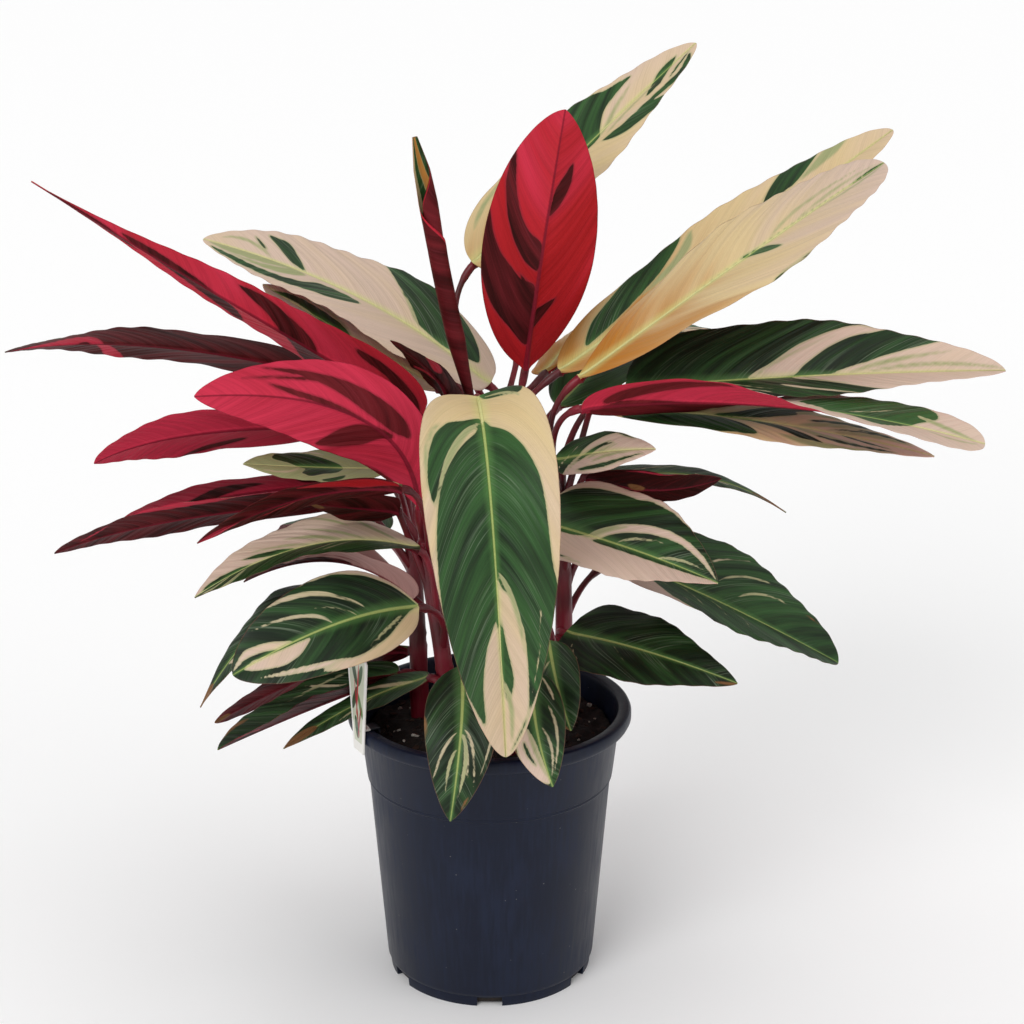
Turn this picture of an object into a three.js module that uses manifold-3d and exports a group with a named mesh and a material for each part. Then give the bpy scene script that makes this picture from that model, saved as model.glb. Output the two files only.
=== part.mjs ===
// A potted Stromanthe 'Triostar': a black nursery pot of 170 mm, its soil, a clip-on plant label,
// six leafy shoots that stand in the soil, and the leaves, each with its own petiole.
// Millimetres, +Z up. The origin is the middle of the pot's flat underside, and -Y is the front.
import * as THREE from "three";
import { mergeVertices } from "three/addons/utils/BufferGeometryUtils.js";
import Module from "manifold-3d";

const wasm = await Module();
wasm.setup();

// ---- Driving dimensions ----
const POT = {
  height: 170,
  rimRadius: 85,
  rimDepth: 8,
  underRimRadius: 78,
  collarBottom: 127,
  collarRadius: 74,
  bodyTopRadius: 73,
  cornerHeight: 9,
  cornerRadius: 63.5,
  footRadius: 61.5,
  wall: 1.6,
  sides: 48,
};
const NOTCH = { count: 6, width: 15, height: 6, reach: 9 };
const SOIL = { top: 153, mound: 5, lump: 1.6, rings: 5, sides: 30, clearance: 0.3, drop: 2 };
const SEAT_GAP = 0.3;
const SHOOT_SIDES = 8;
const PETIOLE_RADIUS = 1.9;
const PULVINUS_RADIUS = 2.6;
const PULVINUS_LENGTH = 14;
const BLADE_THICKNESS = 0.8;
const RIB_DEPTH = 0.9;
const BLADE_COLUMNS = [-1, -0.55, 0, 0.55, 1];

// ---- Colours ----
const FINISH = {
  plastic: { color: 0x2c3038, roughness: 0.45, metalness: 0 },
  soil: { color: 0x1b1512, roughness: 0.95, metalness: 0 },
  label: { color: 0xe9e6df, roughness: 0.4, metalness: 0 },
  stem: { color: 0x8a2f3c, roughness: 0.5, metalness: 0 },
  green: { color: 0x2c5536, roughness: 0.45, metalness: 0 },
  cream: { color: 0xe0c6a4, roughness: 0.45, metalness: 0 },
  red: { color: 0xc23348, roughness: 0.5, metalness: 0 },
  maroon: { color: 0x4c1f2a, roughness: 0.5, metalness: 0 },
};

// ---- Shoots: the sheathed stems, from below the soil up ----
// path: points on the centre line; foot and top are the radii at the two ends.
const SHOOTS = {
  left: { path: [[-24, -22, 122], [-25, -24, 190], [-33, -38, 260], [-37, -46, 292]], foot: 6.5, top: 4 },
  centre: { path: [[0, -2, 122], [0, -8, 230], [4, -8, 330]], foot: 7.5, top: 4.5 },
  right: { path: [[44, 4, 122], [44, 0, 235], [40, -10, 325]], foot: 6.5, top: 4 },
  back: { path: [[8, 42, 122], [6, 42, 250], [4, 40, 345]], foot: 7, top: 4 },
  side: { path: [[-42, 16, 122], [-44, 14, 230], [-48, 8, 305]], foot: 6.5, top: 4 },
  front: { path: [[14, -36, 122], [12, -40, 200], [10, -42, 232]], foot: 6, top: 4 },
};

// ---- Leaves ----
// base, mid and tip are points of the midrib; the petiole leaves its shoot at the height `from`.
// faces is the way that the upper side looks; left and right give each half's slope at the rib
// and the further turn on the way to its margin, in degrees, where positive is upwards.
const LEAVES = [
  // the crown
  {
    name: "tall_back", shoot: "back", from: 335, width: 62, finish: "cream",
    base: [-9, 62, 425], mid: [47, 75, 482], tip: [122, 100, 549], faces: [-0.57, -0.39, 0.72],
    rise: 0.42, fall: 0.63, left: [26, -6], right: [8, -20],
  },
  {
    name: "upright_red", shoot: "centre", from: 320, width: 68, finish: "red",
    base: [21, 0, 378], mid: [31, -10, 451], tip: [43, 10, 523], faces: [0, 1, 0.2],
    rise: 0.63, fall: 0.65, left: [29, -6], right: [11, -18],
  },
  {
    name: "pale_back", shoot: "back", from: 340, width: 40, finish: "cream",
    base: [33, 30, 367], mid: [47, 60, 377], tip: [65, 95, 387], faces: [-0.66, -0.3, 0.69],
  },
  // the left fan
  {
    name: "left_cream", shoot: "centre", from: 300, width: 78, finish: "cream",
    base: [0, 14, 364], mid: [-74, 23, 413], tip: [-164, 30, 446], faces: [0.41, -0.29, 0.87],
    left: [13, -14], right: [15, -10], rise: 0.36, fall: 0.6,
  },
  {
    name: "left_cream_low", shoot: "side", from: 298, width: 54, finish: "cream",
    base: [-28, -5, 367], mid: [-85, 5, 398], tip: [-129, 15, 423], faces: [0.44, -0.24, 0.87],
  },
  {
    name: "crown_dark", shoot: "left", from: 274, width: 36, finish: "red",
    base: [-23, -17, 365], mid: [-32, -29, 383], tip: [-54, -33, 402], faces: [0.59, 0.52, 0.61],
    hook: 0.2,
  },
  {
    name: "long_red", shoot: "left", from: 285, width: 46, finish: "red",
    base: [-36, -40, 362], mid: [-143, -50, 430], tip: [-239, -70, 497], faces: [0.49, 0.66, 0.57],
    twist: 0, rise: 0.4, fall: 1.5, left: [27, -6], right: [14, -18],
  },
  {
    name: "left_maroon", shoot: "side", from: 300, width: 52, finish: "maroon",
    base: [-92, 5, 372], mid: [-194, 0, 391], tip: [-271, -20, 392], faces: [0.07, 0.57, 0.82],
    twist: -20,
  },
  {
    name: "bright_red", shoot: "left", from: 290, width: 54, finish: "red",
    base: [-38, -67, 316], mid: [-69, -80, 371], tip: [-156, -88, 385], faces: [0.12, 0.8, 0.08],
    rise: 0.85, fall: 0.7,
  },
  {
    name: "magenta", shoot: "side", from: 280, width: 44, finish: "red",
    base: [-85, -25, 350], mid: [-165, -48, 352], tip: [-217, -60, 339], faces: [-0.17, 0.74, 0.65],
  },
  {
    name: "small_sage", shoot: "side", from: 268, width: 40, finish: "green",
    base: [-58, -35, 328], mid: [-97, -42, 331], tip: [-135, -58, 338], faces: [0.03, -0.2, 0.98],
    hook: 0.1,
  },
  {
    name: "low_maroon", shoot: "left", from: 280, width: 38, finish: "maroon",
    base: [-70, -38, 311], mid: [-170, -60, 307], tip: [-240, -70, 290], faces: [-0.17, 0.66, 0.73],
  },
  {
    name: "low_red_far", shoot: "side", from: 250, width: 36, finish: "red",
    base: [-80, -12, 313], mid: [-154, -28, 309], tip: [-209, -40, 298], faces: [-0.16, 0.7, 0.69],
    hook: 0,
  },
  {
    name: "narrow_red", shoot: "left", from: 270, width: 32, finish: "red",
    base: [-46, -90, 334], mid: [-101, -95, 330], tip: [-156, -102, 307], faces: [-0.27, 0.61, 0.74],
    hook: 0.2,
  },
  {
    name: "dark_mid", shoot: "left", from: 250, width: 34, finish: "maroon",
    base: [-50, -58, 311], mid: [-69, -66, 315], tip: [-97, -76, 321], faces: [0.04, 0.75, 0.66],
    hook: 0,
  },
  // the low leaves at the left
  {
    name: "cream_green", shoot: "left", from: 232, width: 54, finish: "cream",
    base: [-39, -60, 289], mid: [-97, -80, 298], tip: [-159, -100, 275], faces: [-0.19, -0.12, 0.97],
    left: [16, -10], right: [16, -10], hook: 0.15,
  },
  {
    name: "fold_behind", shoot: "side", from: 230, width: 54, finish: "cream",
    base: [-44, -30, 249], mid: [-87, -40, 275], tip: [-139, -45, 264], faces: [0.11, 0.2, 0.97],
    left: [25, -5], right: [25, -5],
  },
  {
    name: "big_green_left", shoot: "left", from: 215, width: 56, finish: "green",
    base: [-40, -75, 260], mid: [-83, -110, 263], tip: [-136, -130, 242], faces: [-0.1, -0.7, 0.5],
    rise: 0.6, fall: 0.63, left: [15, -12], right: [15, -12],
  },
  {
    name: "green_curl", shoot: "side", from: 215, width: 42, finish: "green",
    base: [-82, -45, 260], mid: [-122, -72, 252], tip: [-161, -85, 204], faces: [-0.55, -0.27, 0.79],
    fall: 1.1,
  },
  {
    name: "dark_tip", shoot: "side", from: 190, width: 44, finish: "maroon",
    base: [-49, 24, 195], mid: [-104, 33, 177], tip: [-167, 10, 153], faces: [-0.3, 0.69, 0.66],
    fall: 0.6,
  },
  {
    name: "fold_purple", shoot: "side", from: 180, width: 50, finish: "green",
    base: [-54, 4, 187], mid: [-105, 2, 167], tip: [-158, -45, 160], faces: [-0.34, 0.08, 0.94],
    left: [30, -5], right: [30, -5],
  },
  {
    name: "dry_low", shoot: "left", from: 172, width: 26, finish: "green",
    base: [-35, -28, 198], mid: [-76, -15, 177], tip: [-119, -50, 163], faces: [-0.39, -0.23, 0.89],
  },
  // the front
  {
    name: "front_big", shoot: "centre", from: 305, width: 78, finish: "green",
    base: [-5, -70, 378], mid: [3, -135, 333], tip: [10, -125, 192], faces: [0, -1, 0.3],
    rise: 0.45, fall: 0.64, left: [26, -8], right: [29, -4],
  },
  {
    name: "drop_green", shoot: "front", from: 200, width: 42, finish: "green",
    base: [-15, -60, 217], mid: [-15, -100, 195], tip: [-21, -110, 146], faces: [0, -1, 0.4],
  },
  {
    name: "drop_small", shoot: "front", from: 168, width: 34, finish: "green",
    base: [25, -68, 218], mid: [27, -97, 197], tip: [36, -110, 167], faces: [0, -1, 0.4],
    hook: 0.1,
  },
  {
    name: "dark_inner", shoot: "right", from: 178, width: 30, finish: "green",
    base: [35, -42, 226], mid: [39, -58, 208], tip: [47, -72, 184], faces: [-0.3, -0.9, 0.4],
  },
  {
    name: "front_right", shoot: "front", from: 230, width: 76, finish: "green",
    base: [29, -60, 305], mid: [80, -85, 297], tip: [124, -110, 287], faces: [0.19, -0.47, 0.86],
    rise: 0.38, fall: 0.85, left: [20, -8], right: [20, -10],
  },
  // the right fan
  {
    name: "right_low_green", shoot: "right", from: 215, width: 64, finish: "green",
    base: [46, -18, 222], mid: [88, -42, 221], tip: [142, -58, 207], faces: [0.2, -0.42, 0.88],
    rise: 0.3,
  },
  {
    name: "right_green", shoot: "right", from: 235, width: 88, finish: "green",
    base: [65, 5, 264], mid: [132, 5, 235], tip: [208, 0, 196], faces: [0.3, -0.46, 0.83],
    left: [12, -12], right: [38, -15], rise: 0.42, fall: 0.58,
  },
  {
    name: "right_curl", shoot: "right", from: 270, width: 34, finish: "green",
    base: [58, -10, 311], mid: [119, 0, 313], tip: [172, -10, 294], faces: [0.13, -0.04, 0.99],
    left: [12, -20], right: [12, -20], fall: 1.3, hook: 0, rise: 0.4,
  },
  {
    name: "right_purple", shoot: "right", from: 250, width: 36, finish: "maroon",
    base: [56, -30, 322], mid: [94, -35, 316], tip: [132, -30, 321], faces: [0.02, 0.75, 0.66],
    hook: 0.1,
  },
  {
    name: "right_small", shoot: "centre", from: 285, width: 34, finish: "green",
    base: [38, -46, 336], mid: [62, -56, 344], tip: [92, -66, 349], faces: [-0.09, -0.44, 0.89],
  },
  {
    name: "right_cream_front", shoot: "right", from: 315, width: 78, finish: "cream",
    base: [51, -35, 381], mid: [131, -20, 437], tip: [220, 0, 495], faces: [-0.45, -0.39, 0.8],
    rise: 0.78, fall: 0.5, left: [8, -21], right: [17, -13],
  },
  {
    name: "right_cream_back", shoot: "back", from: 320, width: 56, finish: "cream",
    base: [41, 10, 373], mid: [132, 38, 433], tip: [234, 60, 504], faces: [-0.48, -0.34, 0.81],
    rise: 0.5, fall: 0.56, left: [26, -6],
  },
  {
    name: "right_big", shoot: "right", from: 310, width: 70, finish: "green",
    base: [78, -12, 368], mid: [174, -25, 379], tip: [286, -42, 387], faces: [-0.04, -0.39, 0.92],
    left: [33, -4], right: [26, -12], fall: 0.66, rise: 0.4,
  },
  {
    name: "right_red_fold", shoot: "right", from: 300, width: 56, finish: "red",
    base: [52, -55, 369], mid: [156, -70, 375], tip: [269, -80, 356], faces: [0, 0, 1],
    left: [-8, 0], right: [28, -6], twist: 80, rise: 0.5, fall: 0.45, hook: 0.3,
  },
  {
    name: "right_shaded", shoot: "right", from: 290, width: 44, finish: "green",
    base: [57, -35, 363], mid: [150, -42, 358], tip: [246, -60, 343], faces: [0.11, -0.2, 0.97],
    rise: 0.8, hook: 0,
  },
  // the leaves behind
  {
    name: "back_high", shoot: "back", from: 330, width: 64, finish: "green",
    base: [18, 75, 372], mid: [30, 150, 418], tip: [40, 230, 428], faces: [0, -0.45, 0.9],
  },
  {
    name: "back_left", shoot: "back", from: 318, width: 60, finish: "cream",
    base: [-20, 70, 350], mid: [-68, 140, 388], tip: [-120, 200, 392], faces: [0.2, -0.4, 0.9],
  },
  {
    name: "back_right", shoot: "back", from: 300, width: 64, finish: "green",
    base: [42, 72, 335], mid: [98, 130, 365], tip: [150, 190, 350], faces: [-0.2, -0.3, 0.95],
  },
  {
    name: "back_side", shoot: "side", from: 285, width: 58, finish: "red",
    base: [-72, 40, 320], mid: [-115, 85, 348], tip: [-158, 125, 332], faces: [0.1, -0.2, 1],
  },
  {
    name: "back_mid", shoot: "back", from: 270, width: 68, finish: "green",
    base: [4, 80, 305], mid: [-8, 150, 312], tip: [-28, 215, 276], faces: [0, 0.1, 1],
  },
  {
    name: "back_low_left", shoot: "side", from: 245, width: 56, finish: "cream",
    base: [-66, 45, 262], mid: [-105, 90, 258], tip: [-140, 128, 215], faces: [-0.2, 0.2, 1],
  },
  {
    name: "back_low_right", shoot: "back", from: 240, width: 58, finish: "green",
    base: [38, 68, 262], mid: [80, 115, 258], tip: [120, 158, 215], faces: [0.2, 0.2, 1],
  },
  {
    name: "back_low", shoot: "back", from: 215, width: 52, finish: "green",
    base: [0, 74, 235], mid: [-12, 120, 228], tip: [-28, 155, 185], faces: [0, 0.3, 1],
  },
  {
    name: "right_behind", shoot: "right", from: 220, width: 52, finish: "green",
    base: [70, 32, 246], mid: [118, 75, 240], tip: [162, 115, 210], faces: [0.2, 0.1, 1],
  },
];

// The newest leaf, still rolled up: its centre line, and its radius from foot to point.
const FURLED = {
  shoot: "centre",
  from: 318,
  path: [[-10, -20, 364], [-18, -23, 400], [-26, -26, 440], [-32, -28, 478], [-39, -30, 514]],
  radii: [2.4, 3.8, 5.4, 5.4, 5.4, 5.6, 5.6, 4.6, 1.4],
};

// The plant label: a plate outside the rim, a bridge over it and a short leg inside.
const LABEL = {
  azimuth: -62,
  top: 222,
  bottom: 157,
  topWidth: 28,
  bottomWidth: 13,
  shoulder: 6,
  thickness: 1.4,
  plateRadius: 85.4,
  bridgeHeight: 170.4,
  legRadius: 73.5,
  legWidth: 9,
  legBottom: 158,
};

// ---- Solids ----

/** A closed three.js geometry as a manifold-3d solid. */
function toSolid(geometry) {
  const bare = geometry.clone();
  for (const name of ["normal", "uv"]) bare.deleteAttribute(name);
  const merged = mergeVertices(bare, 1e-4);
  return new wasm.Manifold(
    new wasm.Mesh({
      numProp: 3,
      vertProperties: new Float32Array(merged.attributes.position.array),
      triVerts: new Uint32Array(merged.index.array),
    }),
  );
}

/** A manifold-3d solid as a three.js geometry. */
function toGeometry(solid) {
  const mesh = solid.getMesh();
  const geometry = new THREE.BufferGeometry();
  geometry.setAttribute("position", new THREE.BufferAttribute(new Float32Array(mesh.vertProperties), 3));
  geometry.setIndex(new THREE.BufferAttribute(new Uint32Array(mesh.triVerts), 1));
  return geometry;
}

/** The largest body of a solid that a cut has left in several pieces. */
function mainBody(solid) {
  return solid.decompose().reduce((most, piece) => (piece.volume() > most.volume() ? piece : most));
}

/**
 * A closed skin over a row of loops of equal length. Loop points run round the section; the quads of
 * the second half of the loop are split the other way, so that a thin blade's two faces match.
 */
function loft(loops) {
  const count = loops[0].length;
  const positions = loops.flat().flatMap((p) => [p.x, p.y, p.z]);
  const index = [];
  for (let row = 0; row + 1 < loops.length; row++) {
    for (let i = 0; i < count; i++) {
      const next = (i + 1) % count;
      const [low, high] = [row * count, (row + 1) * count];
      const [a, b, c, d] = [low + i, low + next, high + next, high + i];
      if (i < count / 2) index.push(a, b, c, a, c, d);
      else index.push(a, b, d, b, c, d);
    }
  }
  const cap = (start, flip) => {
    for (let i = 0; i < count / 2 - 1; i++) {
      const [a, b, c, d] = [start + i, start + i + 1, start + count - 2 - i, start + count - 1 - i];
      if (flip) index.push(a, c, b, a, d, c);
      else index.push(a, b, c, a, c, d);
    }
  };
  cap(0, true);
  cap((loops.length - 1) * count, false);
  const geometry = new THREE.BufferGeometry();
  geometry.setAttribute("position", new THREE.Float32BufferAttribute(positions, 3));
  geometry.setIndex(index);
  return geometry;
}

/** A solid from lofted loops, turned the right way out. */
function loftSolid(loops) {
  const solid = toSolid(loft(loops));
  return solid.volume() > 0 ? solid : toSolid(loft(loops.map((loop) => [...loop].reverse())));
}

/** Points round a circle of the given radius in the plane of side and normal. */
function ring(centre, side, normal, radius, sides) {
  return Array.from({ length: sides }, (_, i) => {
    const angle = Math.PI - (Math.PI * (2 * i + 1)) / sides;
    return centre
      .clone()
      .addScaledVector(side, radius * Math.cos(angle))
      .addScaledVector(normal, radius * Math.sin(angle));
  });
}

const vector = (p) => new THREE.Vector3(...p);

/** A shoot's tapered stem. grow widens it, to cut the clearance round it. */
function shootSolid({ path, foot, top }, grow = 0) {
  const curve = new THREE.CatmullRomCurve3(path.map(vector));
  const steps = 8;
  const side = new THREE.Vector3(1, 0, 0);
  const loops = [];
  for (let i = 0; i <= steps; i++) {
    const t = i / steps;
    const centre = curve.getPoint(t);
    const tangent = curve.getTangent(t);
    if (i === 0) centre.addScaledVector(tangent, -grow);
    if (i === steps) centre.addScaledVector(tangent, grow);
    const normal = new THREE.Vector3().crossVectors(side, tangent).normalize();
    const across = new THREE.Vector3().crossVectors(tangent, normal).normalize();
    loops.push(ring(centre, across, normal, foot + (top - foot) * t + grow, SHOOT_SIDES));
  }
  return loftSolid(loops);
}

/** The centre of a shoot at a height above the pot's underside. */
function shootAt(name, height) {
  const curve = new THREE.CatmullRomCurve3(SHOOTS[name].path.map(vector));
  let [low, high] = [0, 1];
  for (let i = 0; i < 30; i++) {
    const middle = (low + high) / 2;
    if (curve.getPoint(middle).z < height) low = middle;
    else high = middle;
  }
  return curve.getPoint(low);
}

/** Half the blade's width, as a share of the widest, at a share v of its length. */
function outline(v, { rise = 0.5, fall = 0.75 }) {
  const peak = rise / (rise + fall);
  return (v ** rise * (1 - v) ** fall) / (peak ** rise * (1 - peak) ** fall);
}

/** A half section of the blade, at the arc length a from the rib: [across, up, slope]; shape in degrees. */
function arc(a, halfWidth, [slope, turn]) {
  const start = THREE.MathUtils.degToRad(slope);
  const bend = THREE.MathUtils.degToRad(turn) / halfWidth;
  if (Math.abs(bend * halfWidth) < 1e-3) return [a * Math.cos(start), a * Math.sin(start), start];
  const end = start + bend * a;
  return [(Math.sin(end) - Math.sin(start)) / bend, (Math.cos(start) - Math.cos(end)) / bend, end];
}

/** A leaf's midrib curve, with the directions across the blade and out of its upper side along it. */
function bladeFrame(leaf) {
  const [base, mid, tip] = [leaf.base, leaf.mid, leaf.tip].map(vector);
  const control = mid.clone().multiplyScalar(2).addScaledVector(base, -0.5).addScaledVector(tip, -0.5);
  const curve = new THREE.QuadraticBezierCurve3(base, control, tip);
  const middle = curve.getTangent(0.5);
  const up = vector(leaf.faces);
  up.addScaledVector(middle, -up.dot(middle)).normalize();
  return {
    curve,
    at(v) {
      const tangent = curve.getTangent(v);
      const turn = new THREE.Quaternion().setFromUnitVectors(middle, tangent);
      const normal = up.clone().applyQuaternion(turn);
      normal.applyAxisAngle(tangent, THREE.MathUtils.degToRad((leaf.twist ?? 0) * (v - 0.5)));
      const side = new THREE.Vector3().crossVectors(tangent, normal);
      return { point: curve.getPoint(v), tangent, normal, side };
    },
  };
}

/** One leaf as a solid: petiole, pulvinus and blade in one skin, cut clear of the shoot it seats on. */
function leafSolid(leaf) {
  const frame = bladeFrame(leaf);
  const length = frame.curve.getLength();
  const first = frame.at(0);
  const root = shootAt(leaf.shoot, leaf.from);
  const reach = root.distanceTo(first.point);
  const petiole = new THREE.QuadraticBezierCurve3(
    root,
    first.point.clone().addScaledVector(first.tangent, -(leaf.hook ?? 0.45) * reach),
    first.point,
  );
  const loops = [];
  const steps = Math.max(3, Math.round(reach / 22));
  const stops = Array.from({ length: steps }, (_, i) => (i / steps) * (1 - PULVINUS_LENGTH / reach));
  stops.push(1 - PULVINUS_LENGTH / reach, 1 - 0.45 * (PULVINUS_LENGTH / reach));
  for (const t of [...new Set(stops)]) {
    const tangent = petiole.getTangent(t);
    const turn = new THREE.Quaternion().setFromUnitVectors(first.tangent, tangent);
    const radius = t > 1 - 0.9 * (PULVINUS_LENGTH / reach) ? PULVINUS_RADIUS : PETIOLE_RADIUS;
    const side = first.side.clone().applyQuaternion(turn);
    const normal = first.normal.clone().applyQuaternion(turn);
    loops.push(ring(petiole.getPoint(t), side, normal, radius, 10));
  }
  const rows = THREE.MathUtils.clamp(Math.round(length / 20), 7, 12);
  for (let row = 0; row <= rows; row++) {
    const even = row / rows;
    const v = 0.5 * even + 0.25 * (1 - Math.cos(Math.PI * even));
    const { point, normal, side } = frame.at(v);
    const half = Math.max((leaf.width / 2) * outline(v, leaf), row === 0 ? 2 : 0.7);
    const wave = (leaf.wave ?? 0.05) * half;
    const [top, bottom] = [[], []];
    for (const u of BLADE_COLUMNS) {
      const shape = u < 0 ? (leaf.left ?? [12, -20]) : (leaf.right ?? [12, -20]);
      const [across, up, slope] = arc(Math.abs(u) * half, half, shape);
      const ripple = wave * u * u * Math.sin(2 * Math.PI * (2 * v + (u < 0 ? 0.1 : 0.55)));
      const centre = point
        .clone()
        .addScaledVector(side, Math.sign(u) * across)
        .addScaledVector(normal, up + ripple);
      const out = normal
        .clone()
        .multiplyScalar(Math.cos(u === 0 ? 0 : slope))
        .addScaledVector(side, -Math.sign(u) * Math.sin(slope));
      const rib = u === 0 ? RIB_DEPTH * (1 - v) : 0;
      top.push(centre.clone().addScaledVector(out, BLADE_THICKNESS / 2));
      bottom.unshift(centre.clone().addScaledVector(out, -BLADE_THICKNESS / 2 - rib));
    }
    loops.push([...top, ...bottom]);
  }
  const whole = loftSolid(loops);
  return mainBody(whole.subtract(shootSolid(SHOOTS[leaf.shoot], SEAT_GAP)));
}

/** The rolled leaf: its petiole and its spindle, cut clear of the shoot that it seats on. */
function furledSolid({ shoot, from, path, radii }) {
  const root = shootAt(shoot, from);
  const spindle = new THREE.CatmullRomCurve3(path.map(vector));
  const start = spindle.getPoint(0);
  const lead = spindle.getTangent(0).multiplyScalar(-0.45 * root.distanceTo(start));
  const petiole = new THREE.QuadraticBezierCurve3(root, start.clone().add(lead), start);
  const side = new THREE.Vector3(1, 0, 0);
  const section = (curve, t, radius) => {
    const tangent = curve.getTangent(t);
    const normal = new THREE.Vector3().crossVectors(side, tangent).normalize();
    return ring(curve.getPoint(t), new THREE.Vector3().crossVectors(tangent, normal), normal, radius, 10);
  };
  const loops = [0, 0.35, 0.7].map((t) => section(petiole, t, PETIOLE_RADIUS));
  radii.forEach((radius, i) => loops.push(section(spindle, i / (radii.length - 1), radius)));
  return mainBody(loftSolid(loops).subtract(shootSolid(SHOOTS[shoot], SEAT_GAP)));
}

/** The plant label astride the rim. */
function labelSolid() {
  const l = LABEL;
  const [half, foot] = [l.topWidth / 2, l.bottomWidth / 2];
  const face = new THREE.Shape(
    [
      [-foot, l.bottom],
      [foot, l.bottom],
      [half, l.top - l.shoulder],
      [half - l.shoulder, l.top],
      [l.shoulder - half, l.top],
      [-half, l.top - l.shoulder],
    ].map(([x, y]) => new THREE.Vector2(x, y)),
  );
  const plate = new THREE.ExtrudeGeometry(face, { depth: l.thickness, bevelEnabled: false });
  plate.rotateX(Math.PI / 2).translate(0, -l.plateRadius, 0);
  const span = l.plateRadius + l.thickness - l.legRadius;
  const bridge = new THREE.BoxGeometry(l.legWidth, span, l.thickness);
  bridge.translate(0, -l.legRadius - span / 2, l.bridgeHeight + l.thickness / 2);
  const drop = l.bridgeHeight + l.thickness - l.legBottom;
  const leg = new THREE.BoxGeometry(l.legWidth, l.thickness, drop);
  leg.translate(0, -l.legRadius - l.thickness / 2, l.legBottom + drop / 2);
  const turn = THREE.MathUtils.degToRad(l.azimuth);
  const pieces = [plate, bridge, leg].map((piece) => toSolid(piece.rotateZ(turn)));
  return pieces.reduce((whole, piece) => whole.add(piece));
}

/** The pot: a moulded shell with a rolled rim, a collar and drain notches round its foot. */
function potSolid() {
  const p = POT;
  const inner = (radius) => radius - p.wall;
  const profile = [
    [0, 0],
    [p.footRadius, 0],
    [p.footRadius + 0.6, 5.5],
    [p.cornerRadius, p.cornerHeight],
    [p.bodyTopRadius, p.collarBottom - 1],
    [p.collarRadius, p.collarBottom],
    [p.underRimRadius, p.height - p.rimDepth - 1],
    [p.rimRadius - 1, p.height - p.rimDepth],
    [p.rimRadius, p.height - p.rimDepth + 2],
    [p.rimRadius, p.height - 2.5],
    [p.rimRadius - 2, p.height],
    [p.underRimRadius + 1, p.height],
    [inner(p.underRimRadius), p.height - 3],
    [inner(p.collarRadius), p.collarBottom],
    [inner(p.cornerRadius), p.cornerHeight + 1],
    [inner(p.footRadius), p.wall],
    [0, p.wall],
  ].map(([x, y]) => new THREE.Vector2(x, y));
  const lathe = new THREE.LatheGeometry(profile, p.sides).rotateX(Math.PI / 2);
  let solid = toSolid(lathe);
  for (let i = 0; i < NOTCH.count; i++) {
    const angle = (2 * Math.PI * i) / NOTCH.count - Math.PI / 2;
    const box = new THREE.BoxGeometry(NOTCH.reach + 6, NOTCH.width, NOTCH.height * 2);
    box.translate(p.footRadius - NOTCH.reach / 2 + 3, 0, 0).rotateZ(angle);
    solid = solid.subtract(toSolid(box));
  }
  return solid;
}

/** The pot's inside radius at a height. */
function potInside(z) {
  const p = POT;
  const stops = [
    [p.wall, p.footRadius],
    [p.cornerHeight + 1, p.cornerRadius],
    [p.collarBottom, p.collarRadius],
    [p.height, p.underRimRadius],
  ];
  const next = stops.findIndex(([height]) => height > z);
  const [[z0, r0], [z1, r1]] = [stops[next - 1], stops[next]];
  return r0 + ((r1 - r0) * (z - z0)) / (z1 - z0) - p.wall;
}

/** The soil plug: it fills the pot, with a lumpy crown and a plain hole for each shoot. */
function soilSolid() {
  const s = SOIL;
  const rows = [];
  const level = (radius, angle) =>
    s.top +
    s.mound * (1 - (radius / potInside(s.top)) ** 2) +
    s.lump *
      Math.sin(5 * angle + radius * 0.16) *
      Math.cos(3 * angle - radius * 0.11) *
      Math.min(1, radius / 20);
  const floor = POT.wall + s.clearance;
  const walls = [
    [potInside(floor) - s.clearance - 0.4, floor],
    [potInside(POT.cornerHeight + 1) - s.clearance - 0.4, POT.cornerHeight + 1],
    [potInside(POT.collarBottom) - s.clearance - 0.4, POT.collarBottom],
  ];
  const edge = potInside(s.top - s.drop) - s.clearance - 0.4;
  const circle = (radius, height) =>
    Array.from({ length: s.sides }, (_, i) => {
      const angle = (2 * Math.PI * i) / s.sides;
      return new THREE.Vector3(radius * Math.cos(angle), radius * Math.sin(angle), height(angle));
    });
  for (const [radius, height] of walls) rows.push(circle(radius, () => height));
  rows.push(circle(edge, (angle) => level(edge, angle) - s.drop));
  for (let ringIndex = s.rings - 1; ringIndex > 0; ringIndex--) {
    const radius = (edge * ringIndex) / s.rings;
    rows.push(circle(radius, (angle) => level(radius, angle)));
  }
  const points = rows.flat();
  const index = [];
  const n = s.sides;
  for (let row = 0; row + 1 < rows.length; row++) {
    for (let i = 0; i < n; i++) {
      const next = (i + 1) % n;
      const [a, b, c, d] = [row * n + i, row * n + next, (row + 1) * n + next, (row + 1) * n + i];
      index.push(a, b, c, a, c, d);
    }
  }
  const [under, crown] = [points.length, points.length + 1];
  points.push(new THREE.Vector3(0, 0, floor), new THREE.Vector3(0, 0, level(0, 0)));
  for (let i = 0; i < n; i++) {
    const next = (i + 1) % n;
    index.push(under, next, i);
    index.push(crown, (rows.length - 1) * n + i, (rows.length - 1) * n + next);
  }
  const geometry = new THREE.BufferGeometry();
  const positions = points.flatMap((p) => [p.x, p.y, p.z]);
  geometry.setAttribute("position", new THREE.Float32BufferAttribute(positions, 3));
  geometry.setIndex(index);
  let solid = toSolid(geometry);
  for (const shoot of Object.values(SHOOTS)) solid = solid.subtract(shootSolid(shoot, SEAT_GAP));
  return solid;
}

// ---- The object ----
const group = new THREE.Group();

function add(name, solid, finish) {
  const mesh = new THREE.Mesh(toGeometry(solid), new THREE.MeshStandardMaterial(FINISH[finish]));
  mesh.name = name;
  group.add(mesh);
}

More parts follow.
